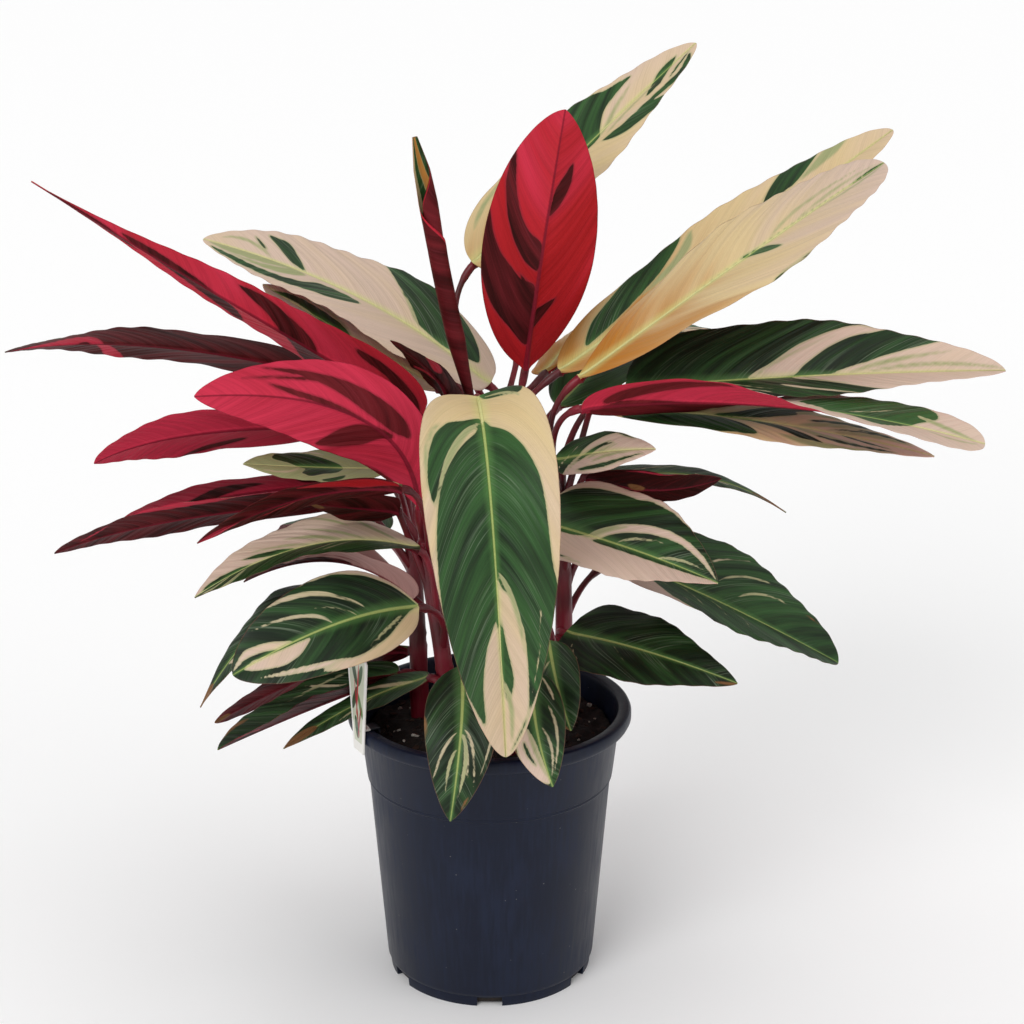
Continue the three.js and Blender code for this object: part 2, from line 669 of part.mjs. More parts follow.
add("pot", potSolid(), "plastic");
add("soil", soilSolid(), "soil");
add("label", labelSolid(), "label");
for (const [name, shoot] of Object.entries(SHOOTS)) add("shoot_" + name, shootSolid(shoot), "stem");
for (const leaf of LEAVES) add("leaf_" + leaf.name, leafSolid(leaf), leaf.finish);
add("leaf_furled", furledSolid(FURLED), "maroon");

export default group;
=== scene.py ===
"""A potted stromanthe: leaves, shoots, peat, pot and plant label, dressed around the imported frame.

Lengths in the tables are millimetres in the frame of the part, with +Z up and -Y to the front. A leaf
is one closed skin of petiole, pulvinus and blade. Its markings are streaks and patches painted on the
blade as distances in millimetres, which the leaf materials turn to colour.
"""

from __future__ import annotations

import logging
import math
import random
from collections.abc import Callable
from dataclasses import dataclass, field
from enum import Enum
from functools import partial

import bmesh
import bpy
import numpy as np
from mathutils import Matrix, Quaternion, Vector, noise


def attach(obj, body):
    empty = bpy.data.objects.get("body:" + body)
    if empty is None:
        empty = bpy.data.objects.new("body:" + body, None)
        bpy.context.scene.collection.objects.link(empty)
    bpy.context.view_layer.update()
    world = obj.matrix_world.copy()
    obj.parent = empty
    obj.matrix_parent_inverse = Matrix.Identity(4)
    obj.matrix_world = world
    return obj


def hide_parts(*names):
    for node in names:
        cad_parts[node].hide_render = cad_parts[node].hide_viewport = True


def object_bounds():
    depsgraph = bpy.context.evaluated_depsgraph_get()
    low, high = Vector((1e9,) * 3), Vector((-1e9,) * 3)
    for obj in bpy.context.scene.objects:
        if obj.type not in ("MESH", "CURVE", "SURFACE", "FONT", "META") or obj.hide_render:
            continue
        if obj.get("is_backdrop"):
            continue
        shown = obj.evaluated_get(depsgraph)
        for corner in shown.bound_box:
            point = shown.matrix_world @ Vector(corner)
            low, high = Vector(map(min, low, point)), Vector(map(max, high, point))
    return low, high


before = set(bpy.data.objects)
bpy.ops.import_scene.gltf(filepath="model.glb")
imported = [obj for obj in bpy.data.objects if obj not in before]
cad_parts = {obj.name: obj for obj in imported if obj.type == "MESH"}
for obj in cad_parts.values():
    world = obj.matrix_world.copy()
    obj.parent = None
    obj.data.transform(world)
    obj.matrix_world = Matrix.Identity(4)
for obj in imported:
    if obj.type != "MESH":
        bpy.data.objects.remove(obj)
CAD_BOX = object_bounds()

LOG = logging.getLogger("stromanthe")
MM = 0.001
TURN = 2 * math.pi
BODY = "root"

Place = tuple[float, float, float]
AddNode = Callable[..., bpy.types.Node]
Materials = tuple[bpy.types.Material, ...]


class Tissue(Enum):
    """What a patch of a blade is made of, or that it has dried up. The value is its letter in the table."""

    GREEN = "G"
    SAGE = "S"
    CREAM = "C"
    DRY = "D"


class Slot(Enum):
    """The material slots, by name."""

    POT = "pot_plastic"
    PEAT = "peat"
    LABEL = "label_plastic"
    STEM = "stem"
    GREEN = "leaf_green"
    VARIEGATED = "leaf_variegated"
    RED = "leaf_red_underside"
    MAROON = "leaf_maroon_underside"


G, S, C, D = Tissue


# ---- Finishes ----


def linear(code: str) -> tuple[float, float, float, float]:
    """Turn an sRGB colour, given as # and six hex digits, into linear RGBA with an alpha of 1."""
    shares = [int(code[i : i + 2], 16) / 255 for i in (1, 3, 5)]
    return (*[c / 12.92 if c <= 0.04045 else ((c + 0.055) / 1.055) ** 2.4 for c in shares], 1.0)


def per_metre(size_mm: float) -> float:
    """The scale that gives a pattern in object coordinates a grain of a size in millimetres."""
    return 1 / (size_mm * MM)


def add_node(
    tree: bpy.types.NodeTree, kind: str, inputs: dict | None = None, **settings: object
) -> bpy.types.Node:
    """Add a shader node with its settings and links.

    Args:
        tree: the material's node tree.
        kind: the node's type, without its ShaderNode prefix.
        inputs: a value, a socket or a node, whose first live output is used, for each input.
        settings: the node's own properties.

    Returns:
        The new node.
    """
    node = tree.nodes.new("ShaderNode" + kind)
    for name, value in settings.items():
        setattr(node, name, value)
    for key, value in (inputs or {}).items():
        if isinstance(value, bpy.types.Node):
            value = next(output for output in value.outputs if output.enabled)
        if isinstance(value, bpy.types.NodeSocket):
            tree.links.new(value, node.inputs[key])
        else:
            node.inputs[key].default_value = value
    return node


@dataclass(frozen=True)
class Finish:
    """A material that is named for what the real one is and how its surface was made."""

    name: str

    def surface(self, add: AddNode) -> dict:
        """Add the nodes of the pattern to the material's tree, and return the inputs of the shader."""
        raise NotImplementedError

    def build(self) -> bpy.types.Material:
        """Build the node material.

        Returns:
            The material.
        """
        material = bpy.data.materials.new(self.name)
        material.use_nodes = True
        material.node_tree.nodes.clear()
        add = partial(add_node, material.node_tree)
        add("OutputMaterial", {"Surface": add("BsdfPrincipled", self.surface(add))})
        return material


@dataclass(frozen=True)
class LeafCuticle(Finish):
    """Living leaf tissue under a waxy cuticle: it gives a satin sheen over streaks that follow the veins, with
    painted highlights of pale sheen and painted shade in bands along them.
    """

    dark: str
    mid: str
    sage: str
    pale_cool: str
    pale_warm: str
    pale_hot: str
    halo_pale: str
    halo_green: str
    halo_share: float
    rib_pale: str
    rib_green: str
    margin: str
    margin_share: float
    # The colour and the share of the painted highlight: pale streaks of sheen along the veins.
    painted_sheen: str
    painted_sheen_share: float
    roughness: float
    banding: float
    shadow: str
    gloss: float
    pale_faded: str = "#B98F88"
    dry: str = "#7A5532"
    # Real cross veins lie closer together; these are drawn as coarse as they need to show.
    vein_mm: float = 2.1
    pleat: float = 1.4

    # What the mesh of a blade stores at each point.
    PAINTED = ("seed", "green", "sage", "dry", "warm", "light", "faded", "along", "edge")
    # Noise drawn out along the veins: its grain in millimetres across and along, its place, its octaves.
    GRAINS = {
        "feather": (18, 2.4, 0, 3), "broad": (34, 9, 31.7, 2), "fine": (22, 0.7, 57.3, 2),
        "sheen": (26, 1.3, 83.9, 2), "gate": (48, 22, 19.3, 2), "drift": (70, 38, 44.1, 2),
        "fold": (60, 4.5, 12.4, 1), "bands": (40, 3.6, 7.7, 2),
    }
    # What each sum starts from, then its parts and their weights.
    SUMS = {
        "jitter": (-0.6, ("feather", 0.9), ("fine", 0.3)),
        "green_mm": ("green", ("jitter", 1)),
        "sage_mm": ("sage", ("jitter", -1)),
        "dry_mm": ("dry", ("jitter", 1)),
        "brightness": ("light", ("broad", 1.7), ("fine", 0.45)),
        "warmth": ("warm", ("drift", 1.3)),
        "halo_mm": (8.5, ("along", -7)),
        "rib_mm": (1.15, ("along", -0.95), ("off_rib", -1)),
        "vein_turn": ("start", ("broad", 5)),
    }

    def surface(self, add: AddNode) -> dict:
        """Turn the blade's vein map and its painted distances to colour and relief.

        Args:
            add: adds a node to the material's tree.

        Returns:
            The inputs of the shader.
        """
        veins = add("SeparateXYZ", {0: add("UVMap", uv_map="veins")})
        value = {name: add("Attribute", attribute_name=name).outputs["Fac"] for name in self.PAINTED}
        value["start"] = veins.outputs["Y"]
        value["off_rib"] = add("Math", {0: veins.outputs["X"]}, operation="ABSOLUTE")
        for name, (across_mm, along_mm, shift, detail) in self.GRAINS.items():
            x = add("Math", {0: veins.outputs["X"], 1: across_mm}, operation="DIVIDE")
            y = add("Math", {0: veins.outputs["Y"], 1: along_mm}, operation="DIVIDE")
            z = add("Math", {0: value["seed"], 1: shift}, operation="ADD")
            place = add("CombineXYZ", {0: x, 1: y, 2: z})
            value[name] = add("TexNoise", {"Vector": place, "Scale": 1.0, "Detail": detail, "Roughness": 0.55})
        for name, (total, *parts) in self.SUMS.items():
            total = value.get(total, total)
            for part, weight in parts:
                total = add("Math", {0: value[part], 1: weight, 2: total}, operation="MULTIPLY_ADD")
            value[name] = total
        # Each share climbs smoothly from 0, where the first value has the second one, to its top at the third.
        for name, source, low, high, top in (
            ("green", "green_mm", -0.3, 0.3, 1),
            ("sage", "sage_mm", -1.2, 1.2, 1),
            ("bright", "brightness", 0.7, 1.85, 1),
            ("glow", "off_rib", value["halo_mm"], 0, 0.95 * self.halo_share),
            ("halo", "off_rib", value["halo_mm"], 0, self.halo_share),
            ("gate", "gate", 0.46, 0.62, self.painted_sheen_share),
            ("hot", "warmth", 1.55, 2.25, 1),
            ("warm", "warmth", 0.65, 1.65, 1),
            ("brink", "green_mm", -1.4, -0.2, 0.55),
            ("thread", "fine", 0.5, 0.75, 0.14),
            ("veil", "fine", 0.35, 0.75, 0.2),
            ("rib", "rib_mm", -0.5, 0.3, 0.8),
            ("edge", "edge", 0.7, 0.1, self.margin_share),
            ("dry", "dry_mm", -0.4, 0.8, 1),
        ):
            ramp = {0: value[source], 1: low, 2: high, 4: top}
            value[name] = add("MapRange", ramp, interpolation_type="SMOOTHSTEP", clamp=True)
        # A painted highlight: pale streaks of sheen along the veins, gathered into patches by the gate.
        ramp = {0: value["sheen"], 1: 0.5, 2: 0.72, 4: value["gate"]}
        value["painted_glint"] = add("MapRange", ramp, interpolation_type="SMOOTHSTEP", clamp=True)
        turns = add("Math", {0: value["vein_turn"], 1: TURN / self.vein_mm}, operation="MULTIPLY")
        value["vein"] = add("Math", {0: turns}, operation="SINE")
        bands = add("MapRange", {0: value["bands"], 1: 0.42, 2: 0.66, 4: self.banding}, clamp=True)
        value["shade"] = add("Math", {0: value["vein"], 1: 0.03, 2: bands}, operation="MULTIPLY_ADD")
        # Each paint has a ground, then coats of a colour or of an earlier paint under a share. The pale coat
        # of sheen on the leafy paint is a painted highlight, and the shade coat on the skin is painted shade.
        paint = {}
        for name, ground, *coats in (
            ("leafy", self.dark, ("bright", self.mid), ("glow", self.halo_green), ("painted_glint", self.painted_sheen)),
            (
                "pale", self.pale_cool, ("warm", self.pale_warm), ("hot", self.pale_hot),
                ("faded", self.pale_faded), ("halo", self.halo_pale),
                ("brink", self.sage), ("thread", self.sage),
            ),
            ("soft", self.sage, ("veil", self.mid)),
            ("midrib", self.rib_pale, ("green", self.rib_green)),
            (
                "skin", "pale", ("sage", "soft"), ("green", "leafy"), ("rib", "midrib"), ("edge", self.margin),
                ("dry", self.dry), ("shade", self.shadow),
            ),
        ):
            colour = paint.get(ground) or linear(ground)
            for share, coat in coats:
                coat = paint.get(coat) or linear(coat)
                colour = add("Mix", {0: value[share], 6: colour, 7: coat}, data_type="RGBA")
            paint[name] = colour
        height = 0.0
        for part, weight in (("fold", self.pleat), ("vein", 0.07), ("fine", 0.3), ("rib", -1.5)):
            height = add("Math", {0: value[part], 1: weight, 2: height}, operation="MULTIPLY_ADD")
        rough = {0: value["feather"], 1: 0.2, 2: self.roughness - 0.1}
        return {
            "Base Color": paint["skin"],
            "Roughness": add("Math", rough, operation="MULTIPLY_ADD"),
            "Normal": add("Bump", {"Height": height, "Strength": 0.8, "Distance": 0.35 * MM}),
            "IOR": 1.45,
            "Specular IOR Level": self.gloss,
        }


@dataclass(frozen=True)
class PetioleSkin(Finish):
    """The red skin of petioles and sheaths: a low gloss over fine fibres that run up the stem."""

    name: str = "stem_epidermis"
    red: str = "#7E1628"
    brown: str = "#4C1A1E"
    green: str = "#6F5B38"
    # Real fibres are finer than this; these are drawn as coarse as they need to show.
    fibre_mm: float = 0.8
    fibre_length: float = 14
    patch_mm: float = 38.46

    def surface(self, add: AddNode) -> dict:
        """Draw red over brown in patches, with paler fibres.

        Args:
            add: adds a node to the material's tree.

        Returns:
            The inputs of the shader.
        """
        place = add("TexCoord").outputs["Object"]
        scale = per_metre(self.fibre_mm)
        stretched = add("Mapping", {"Vector": place, "Scale": (scale, scale, scale / self.fibre_length)})
        fibres = add("TexNoise", {"Vector": stretched, "Scale": 1.0, "Detail": 2.0})
        patches = add("TexNoise", {"Vector": place, "Scale": per_metre(self.patch_mm), "Detail": 2.0})
        share = add("MapRange", {0: patches, 1: 0.38, 2: 0.62}, clamp=True)
        colour = add("Mix", {0: share, 6: linear(self.brown), 7: linear(self.red)}, data_type="RGBA")
        share = add("MapRange", {0: fibres, 1: 0.58, 2: 0.82, 4: 0.3}, clamp=True)
        colour = add("Mix", {0: share, 6: colour, 7: linear(self.green)}, data_type="RGBA")
        bump = add("Bump", {"Height": fibres, "Strength": 0.5, "Distance": 0.2 * MM})
        return {"Base Color": colour, "Roughness": 0.42, "Normal": bump, "IOR": 1.45}


@dataclass(frozen=True)
class MouldedPolypropylene(Finish):
    """Injection-moulded black polypropylene: a satin shell with fine scuffs and dried splashes."""

    name: str = "moulded_polypropylene"
    body: str = "#0D1426"
    worn: str = "#141C30"
    dust: str = "#8D8A84"
    cloud_mm: float = 45.45
    # Real scuffs and splashes are finer than this; these are drawn as coarse as they need to show.
    scuff_mm: float = 2.381
    scuff_length: float = 16.15
    speck_mm: float = 3.2
    grain_mm: float = 0.6667

    def surface(self, add: AddNode) -> dict:
        """Draw cloudy wear, scuffs that run down the wall, and specks.

        Args:
            add: adds a node to the material's tree.

        Returns:
            The inputs of the shader.
        """
        place = add("TexCoord").outputs["Object"]
        cloud = add("TexNoise", {"Vector": place, "Scale": per_metre(self.cloud_mm), "Detail": 4.0})
        scale = per_metre(self.scuff_mm)
        drawn = add("Mapping", {"Vector": place, "Scale": (scale, scale, scale / self.scuff_length)})
        scuffs = add("TexNoise", {"Vector": drawn, "Scale": 1.0, "Detail": 3.0})
        wear = add("Math", {0: cloud, 1: scuffs}, operation="MULTIPLY")
        share = add("MapRange", {0: wear, 1: 0.2, 2: 0.36}, clamp=True)
        colour = add("Mix", {0: share, 6: linear(self.body), 7: linear(self.worn)}, data_type="RGBA")
        cells = add("TexVoronoi", {"Vector": place, "Scale": per_metre(self.speck_mm), "Randomness": 1.0})
        chosen = add("SeparateColor", {0: cells.outputs["Color"]})
        size = add("MapRange", {0: chosen.outputs[0], 1: 0.86, 2: 1.0, 4: 0.14}, clamp=True)
        gap = add("Math", {0: size, 1: cells.outputs["Distance"]}, operation="SUBTRACT")
        speck = add("MapRange", {0: gap, 1: 0.0, 2: 0.03, 4: 0.35}, clamp=True)
        colour = add("Mix", {0: speck, 6: colour, 7: linear(self.dust)}, data_type="RGBA")
        grain = add("TexNoise", {"Vector": place, "Scale": per_metre(self.grain_mm), "Detail": 2.0})
        height = add("Math", {0: scuffs, 1: 0.6, 2: grain}, operation="MULTIPLY_ADD")
        return {
            "Base Color": colour,
            "Roughness": add("MapRange", {0: wear, 1: 0.15, 2: 0.4, 3: 0.36, 4: 0.52}, clamp=True),
            "Normal": add("Bump", {"Height": height, "Strength": 0.25, "Distance": 0.08 * MM}),
            "IOR": 1.49,
            "Specular IOR Level": 0.22,
        }


@dataclass(frozen=True)
class Crumb(Finish):
    """A loose crumbly ground such as damp peat, bark or perlite: two tones in grains, with a rough face."""

    low: str
    high: str
    grain_mm: float
    relief_mm: float = 0.6

    def surface(self, add: AddNode) -> dict:
        """Draw the grains.

        Args:
            add: adds a node to the material's tree.

        Returns:
            The inputs of the shader.
        """
        place = add("TexCoord").outputs["Object"]
        scale = per_metre(self.grain_mm)
        grains = add("TexNoise", {"Vector": place, "Scale": scale, "Detail": 6.0, "Roughness": 0.65})
        share = add("MapRange", {0: grains, 1: 0.4, 2: 0.68}, clamp=True)
        return {
            "Base Color": add("Mix", {0: share, 6: linear(self.low), 7: linear(self.high)}, data_type="RGBA"),
            "Roughness": 0.92,
            "Normal": add("Bump", {"Height": grains, "Strength": 0.9, "Distance": self.relief_mm * MM}),
        }


@dataclass(frozen=True)
class Lobe:
    """A leaf or stem of the printed picture: its middle and half size in millimetres, its lean in degrees."""

    middle: tuple[float, float]
    half: tuple[float, float]
    lean: float
    tint: str


@dataclass(frozen=True)
class PrintedLabel(Finish):
    """Printed polystyrene sheet: it gives a gloss over plain leaves on red stems inside a white border."""

    name: str = "printed_polystyrene"
    sheet: str = "#E9E7E1"
    plain: str = "#16191F"
    panel: str = "#C3C8B2"
    plate_reach: float = 50
    panel_foot: float = 163
    panel_top: float = 217
    # Two heights, then the panel's half width at each.
    panel_taper: tuple[float, float, float, float] = (160, 214, 4.6, 11.6)
    lobes: tuple[Lobe, ...] = (
        Lobe((-3.6, 207.0), (2.6, 9.0), 22, "#2E4A2C"),
        Lobe((4.6, 206.0), (2.4, 8.0), -24, "#3C5A34"),
        Lobe((-3.4, 190.0), (2.4, 9.0), -26, "#24401F"),
        Lobe((3.8, 187.0), (2.0, 8.0), 24, "#5C7A48"),
        Lobe((-1.6, 172.0), (2.2, 7.0), 12, "#31502C"),
        Lobe((0.6, 196.0), (0.9, 17.0), -8, "#B3202E"),
        Lobe((-0.8, 184.0), (0.8, 18.0), 9, "#A01824"),
        Lobe((2.2, 176.0), (0.8, 11.0), -14, "#8E1F2C"),
    )

    def surface(self, add: AddNode) -> dict:
        """Print the panel by the label's own map, in millimetres across and up the plate.

        Args:
            add: adds a node to the material's tree.

        Returns:
            The inputs of the shader. Faces mapped beyond the plate, such as the hook, stay plain.
        """
        plate = add("UVMap", uv_map="plate")
        parts = add("SeparateXYZ", {0: plate})
        x, y = parts.outputs["X"], parts.outputs["Y"]
        off = add("Math", {0: x}, operation="ABSOLUTE")
        half = add("MapRange", dict(enumerate((y, *self.panel_taper))), clamp=True)
        within = add("Math", {0: half, 1: off}, operation="SUBTRACT")
        for ends in ({0: y, 1: self.panel_foot}, {0: self.panel_top, 1: y}):
            inside = add("Math", ends, operation="SUBTRACT")
            within = add("Math", {0: within, 1: inside}, operation="MINIMUM")
        picture = linear(self.panel)
        for lobe in self.lobes:
            spot = {
                "Vector": plate,
                "Location": (*lobe.middle, 0),
                "Rotation": (0, 0, math.radians(lobe.lean)),
                "Scale": (*lobe.half, 1),
            }
            local = add("Mapping", spot, vector_type="TEXTURE")
            reach = add("VectorMath", {0: local}, operation="LENGTH").outputs["Value"]
            cover = add("MapRange", {0: reach, 1: 1.03, 2: 0.97}, clamp=True)
            picture = add("Mix", {0: cover, 6: picture, 7: linear(lobe.tint)}, data_type="RGBA")
        share = add("MapRange", {0: within, 1: 0.0, 2: 0.3}, clamp=True)
        colour = add("Mix", {0: share, 6: linear(self.sheet), 7: picture}, data_type="RGBA")
        hook = add("Math", {0: off, 1: self.plate_reach}, operation="GREATER_THAN")
        colour = add("Mix", {0: hook, 6: colour, 7: linear(self.plain)}, data_type="RGBA")
        return {"Base Color": colour, "Roughness": 0.3, "IOR": 1.55}


@dataclass(frozen=True)
class MattPaper(Finish):
    """Plain paper: a matt floor that takes soft shadows."""

    name: str = "matt_paper"
    tint: str = "#FCFCFC"

    def surface(self, add: AddNode) -> dict:
        """Leave the paper plain."""
        return {"Base Color": linear(self.tint), "Roughness": 0.95}


# The upper side shines softly where the light falls along the pleats, and its pale streaks of sheen are
# painted highlights.
UPPER = LeafCuticle(
    name="waxy_upper_epidermis",
    dark="#101E10",
    mid="#335A2C",
    sage="#9FA274",
    pale_cool="#CDB4A3",
    pale_warm="#D0B88A",
    pale_hot="#B3762F",
    halo_pale="#C9CC80",
    halo_green="#5C8A48",
    halo_share=0.55,
    rib_pale="#CDCB8C",
    rib_green="#A9B56A",
    margin="#A8655A",
    margin_share=0.22,
    painted_sheen="#7E8F76",
    painted_sheen_share=0.45,
    roughness=0.42,
    banding=0.08,
    gloss=0.24,
    shadow="#3A3A18",
)
# The underside is velvety, with hardly a sheen: its reds are painted brighter than the pigment alone, as
# painted light shining through the leaf, and its faint streaks of sheen are painted highlights.
UNDERSIDE = LeafCuticle(
    name="velvety_red_lower_epidermis",
    dark="#260605",
    mid="#6A1C22",
    sage="#7E2430",
    pale_cool="#C8324B",
    pale_warm="#A81C22",
    pale_hot="#8C1014",
    halo_pale="#8E1626",
    halo_green="#521613",
    halo_share=0.0,
    rib_pale="#6E1526",
    rib_green="#6E1526",
    margin="#7A1A28",
    margin_share=0.35,
    painted_sheen="#8A3440",
    painted_sheen_share=0.2,
    roughness=0.5,
    banding=0.18,
    gloss=0.1,
    shadow="#5A0A12",
)
STEM = PetioleSkin()
POLYPROPYLENE = MouldedPolypropylene()
PEAT = Crumb("damp_peat", "#0B0806", "#2B1E17", 2.4)
BARK = Crumb("bark_chips", "#1D120C", "#4A3122", 3.0)
PERLITE = Crumb("perlite", "#A9A49A", "#E4E0D6", 1.2, relief_mm=0.3)
PRINT = PrintedLabel()
FLOOR = MattPaper()


# ---- Shared modelling ----

# Points closer than this are welded.
WELD_MM = 1e-4
# Painted distances stop counting this many millimetres from a patch's outline.
REACH = 8.0
# This many millimetres from a margin, it no longer shows.
OFF_EDGE = 9.0
# A stroke's stops, and the steps and roundness of a patch's outline from corner to corner.
STROKE_STOPS = 33
PATCH_STEPS = 6
ROUNDNESS = 0.36
# Stands in for a length of nothing in a division.
TINY = 1e-9
# The reach of a difference that gives a path's direction, as a share of the path.
AHEAD = 0.01


def publish(name: str, mesh: bpy.types.Mesh, slot: Slot, nodes: tuple[str, ...] = ()) -> bpy.types.Object:
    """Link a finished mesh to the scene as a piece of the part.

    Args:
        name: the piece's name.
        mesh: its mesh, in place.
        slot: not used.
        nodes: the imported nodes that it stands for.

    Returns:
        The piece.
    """
    piece = bpy.data.objects.new(name, mesh)
    bpy.context.scene.collection.objects.link(piece)
    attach(piece, BODY)
    if nodes:
        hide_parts(*nodes)
    LOG.info("%s: %d faces", name, len(mesh.polygons))
    return piece


def to_mesh(bm: bmesh.types.BMesh, name: str, smooth: bool = True) -> bpy.types.Mesh:
    """Turn a bmesh in millimetres into a mesh in metres, with its faces pointing out.

    Args:
        bm: the bmesh, which is freed.
        name: the mesh's name.
        smooth: whether its faces shade smoothly.

    Returns:
        The mesh.
    """
    bmesh.ops.recalc_face_normals(bm, faces=bm.faces)
    bmesh.ops.scale(bm, vec=(MM, MM, MM), verts=bm.verts)
    for face in bm.faces:
        face.smooth = smooth
    mesh = bpy.data.meshes.new(name)
    bm.to_mesh(mesh)
    bm.free()
    return mesh


def lathe(outline: list[tuple[float, float]], steps: int) -> bmesh.types.BMesh:
    """Spin an outline about the Z axis.

    Args:
        outline: radius and height of each of its corners, in millimetres.
        steps: how many steps the turn has.

    Returns:
        The closed shell.
    """
    bm = bmesh.new()
    verts = [bm.verts.new((radius, 0, z)) for radius, z in outline]
    edges = [bm.edges.new(pair) for pair in zip(verts, verts[1:])]
    bmesh.ops.spin(bm, geom=verts + edges, axis=(0, 0, 1), angle=TURN, steps=steps, use_merge=True)
    bmesh.ops.remove_doubles(bm, verts=bm.verts, dist=WELD_MM)
    return bm


def catmull(points: tuple[Place, ...], share: float) -> Vector:
    """A point on the centripetal spline through some points.

    Args:
        points: the points that the spline passes through.
        share: how far along it, from 0 to 1.

    Returns:
        The point.
    """
    knots = [Vector(p) for p in points]
    knots = [2 * knots[0] - knots[1], *knots, 2 * knots[-1] - knots[-2]]
    at = share * (len(knots) - 3)
    i = min(int(at), len(knots) - 4)
    w = at - i
    p0, p1, p2, p3 = knots[i : i + 4]
    d0, d1, d2 = [math.sqrt((b - a).length) for a, b in ((p0, p1), (p1, p2), (p2, p3))]
    t1 = ((p1 - p0) / d0 - (p2 - p0) / (d0 + d1) + (p2 - p1) / d1) * d1
    t2 = ((p2 - p1) / d1 - (p3 - p1) / (d1 + d2) + (p3 - p2) / d2) * d1
    return p1 + t1 * w + (-3 * p1 + 3 * p2 - 2 * t1 - t2) * w * w + (2 * p1 - 2 * p2 + t1 + t2) * w**3


def bezier(first: Vector, control: Vector, last: Vector, share: float) -> tuple[Vector, Vector]:
    """A point and the unit tangent of a quadratic curve.

    Args:
        first: where the curve starts.
        control: its control point.
        last: where it ends.
        share: how far along it, from 0 to 1.

    Returns:
        The point and the tangent.
    """
    rest = 1 - share
    point = rest * rest * first + 2 * share * rest * control + share * share * last
    return point, (2 * rest * (control - first) + 2 * share * (last - control)).normalized()


@dataclass
class Ring:
    """One section of a skin: its centre and the directions of its plane."""

    centre: Vector
    side: Vector
    normal: Vector

    @classmethod
    def square_to(cls, centre: Vector, ahead: Vector) -> Ring:
        """The section at a centre, square to the way ahead."""
        normal = Vector((1, 0, 0)).cross(ahead).normalized()
        return cls(centre, ahead.normalized().cross(normal), normal)

    @classmethod
    def on_path(cls, path: tuple[Place, ...], share: float) -> Ring:
        """The section of a tube that follows a spline through some points, at a share of its length."""
        ahead = catmull(path, min(share + AHEAD, 1)) - catmull(path, max(share - AHEAD, 0))
        return cls.square_to(catmull(path, share), ahead)

    def spread(self, across: np.ndarray, up: np.ndarray) -> np.ndarray:
        """The points of the section, one a row, with these offsets across and up."""
        return np.array(self.centre) + np.outer(across, self.side) + np.outer(up, self.normal)


@dataclass
class Skin:
    """A closed skin lofted through rings of points, with a map and float attributes that follow the rings."""

    name: str
    rows: list[np.ndarray] = field(default_factory=list)
    maps: list[np.ndarray] = field(default_factory=list)
    slots: list[np.ndarray] = field(default_factory=list)
    floats: dict[str, list[np.ndarray]] = field(default_factory=dict)

    def add(self, points: np.ndarray, uv: np.ndarray, slots: np.ndarray, **floats: np.ndarray) -> None:
        """Add a ring, whose last point repeats its first.

        Args:
            points: the ring's points in millimetres.
            uv: their places on the skin's map.
            slots: the material index of the face after each point.
            floats: a value at each point for each attribute.
        """
        self.rows.append(points)
        self.maps.append(uv)
        self.slots.append(slots)
        for key, values in floats.items():
            self.floats.setdefault(key, []).append(np.broadcast_to(values, len(points)))

    def build(self, materials: Materials, uv_name: str = "veins") -> bpy.types.Mesh:
        """Mould a grid to the rings, weld its seam and close its ends.

        Args:
            materials: the materials that the rings' slots count through.
            uv_name: the name of the map.

        Returns:
            The mesh, in metres.
        """
        count, around = len(self.rows), len(self.rows[0])
        bm = bmesh.new()
        bmesh.ops.create_grid(bm, x_segments=around - 1, y_segments=count - 1, size=0.5)
        mesh = bpy.data.meshes.new(self.name)
        bm.to_mesh(mesh)
        bm.free()
        flat = np.empty(len(mesh.vertices) * 3)
        mesh.vertices.foreach_get("co", flat)
        column = np.rint((flat[0::3] + 0.5) * (around - 1)).astype(int)
        row = np.rint((flat[1::3] + 0.5) * (count - 1)).astype(int)
        mesh.vertices.foreach_set("co", np.array(self.rows)[row, column].ravel())
        corner = np.empty(len(mesh.loops), dtype=int)
        mesh.loops.foreach_get("vertex_index", corner)
        uv_layer = mesh.uv_layers.new(name=uv_name)
        uv_layer.data.foreach_set("uv", np.array(self.maps)[row[corner], column[corner]].ravel())
        for key, values in self.floats.items():
            layer = mesh.attributes.new(key, "FLOAT", "POINT")
            layer.data.foreach_set("value", np.array(values)[row, column].astype(np.float32))
        faces = np.array([tuple(polygon.vertices) for polygon in mesh.polygons])
        picked = np.array(self.slots)[row[faces].min(axis=1), column[faces].min(axis=1)]
        mesh.polygons.foreach_set("material_index", picked)
        bm = bmesh.new()
        bm.from_mesh(mesh)
        bmesh.ops.remove_doubles(bm, verts=bm.verts, dist=WELD_MM)
        bmesh.ops.holes_fill(bm, edges=[e for e in bm.edges if e.is_boundary])
        bmesh.ops.triangulate(bm, faces=bm.faces, quad_method="SHORT_EDGE")
        bpy.data.meshes.remove(mesh)
        mesh = to_mesh(bm, self.name)
        for material in materials:
            mesh.materials.append(material)
        return mesh


# ---- Shoots ----


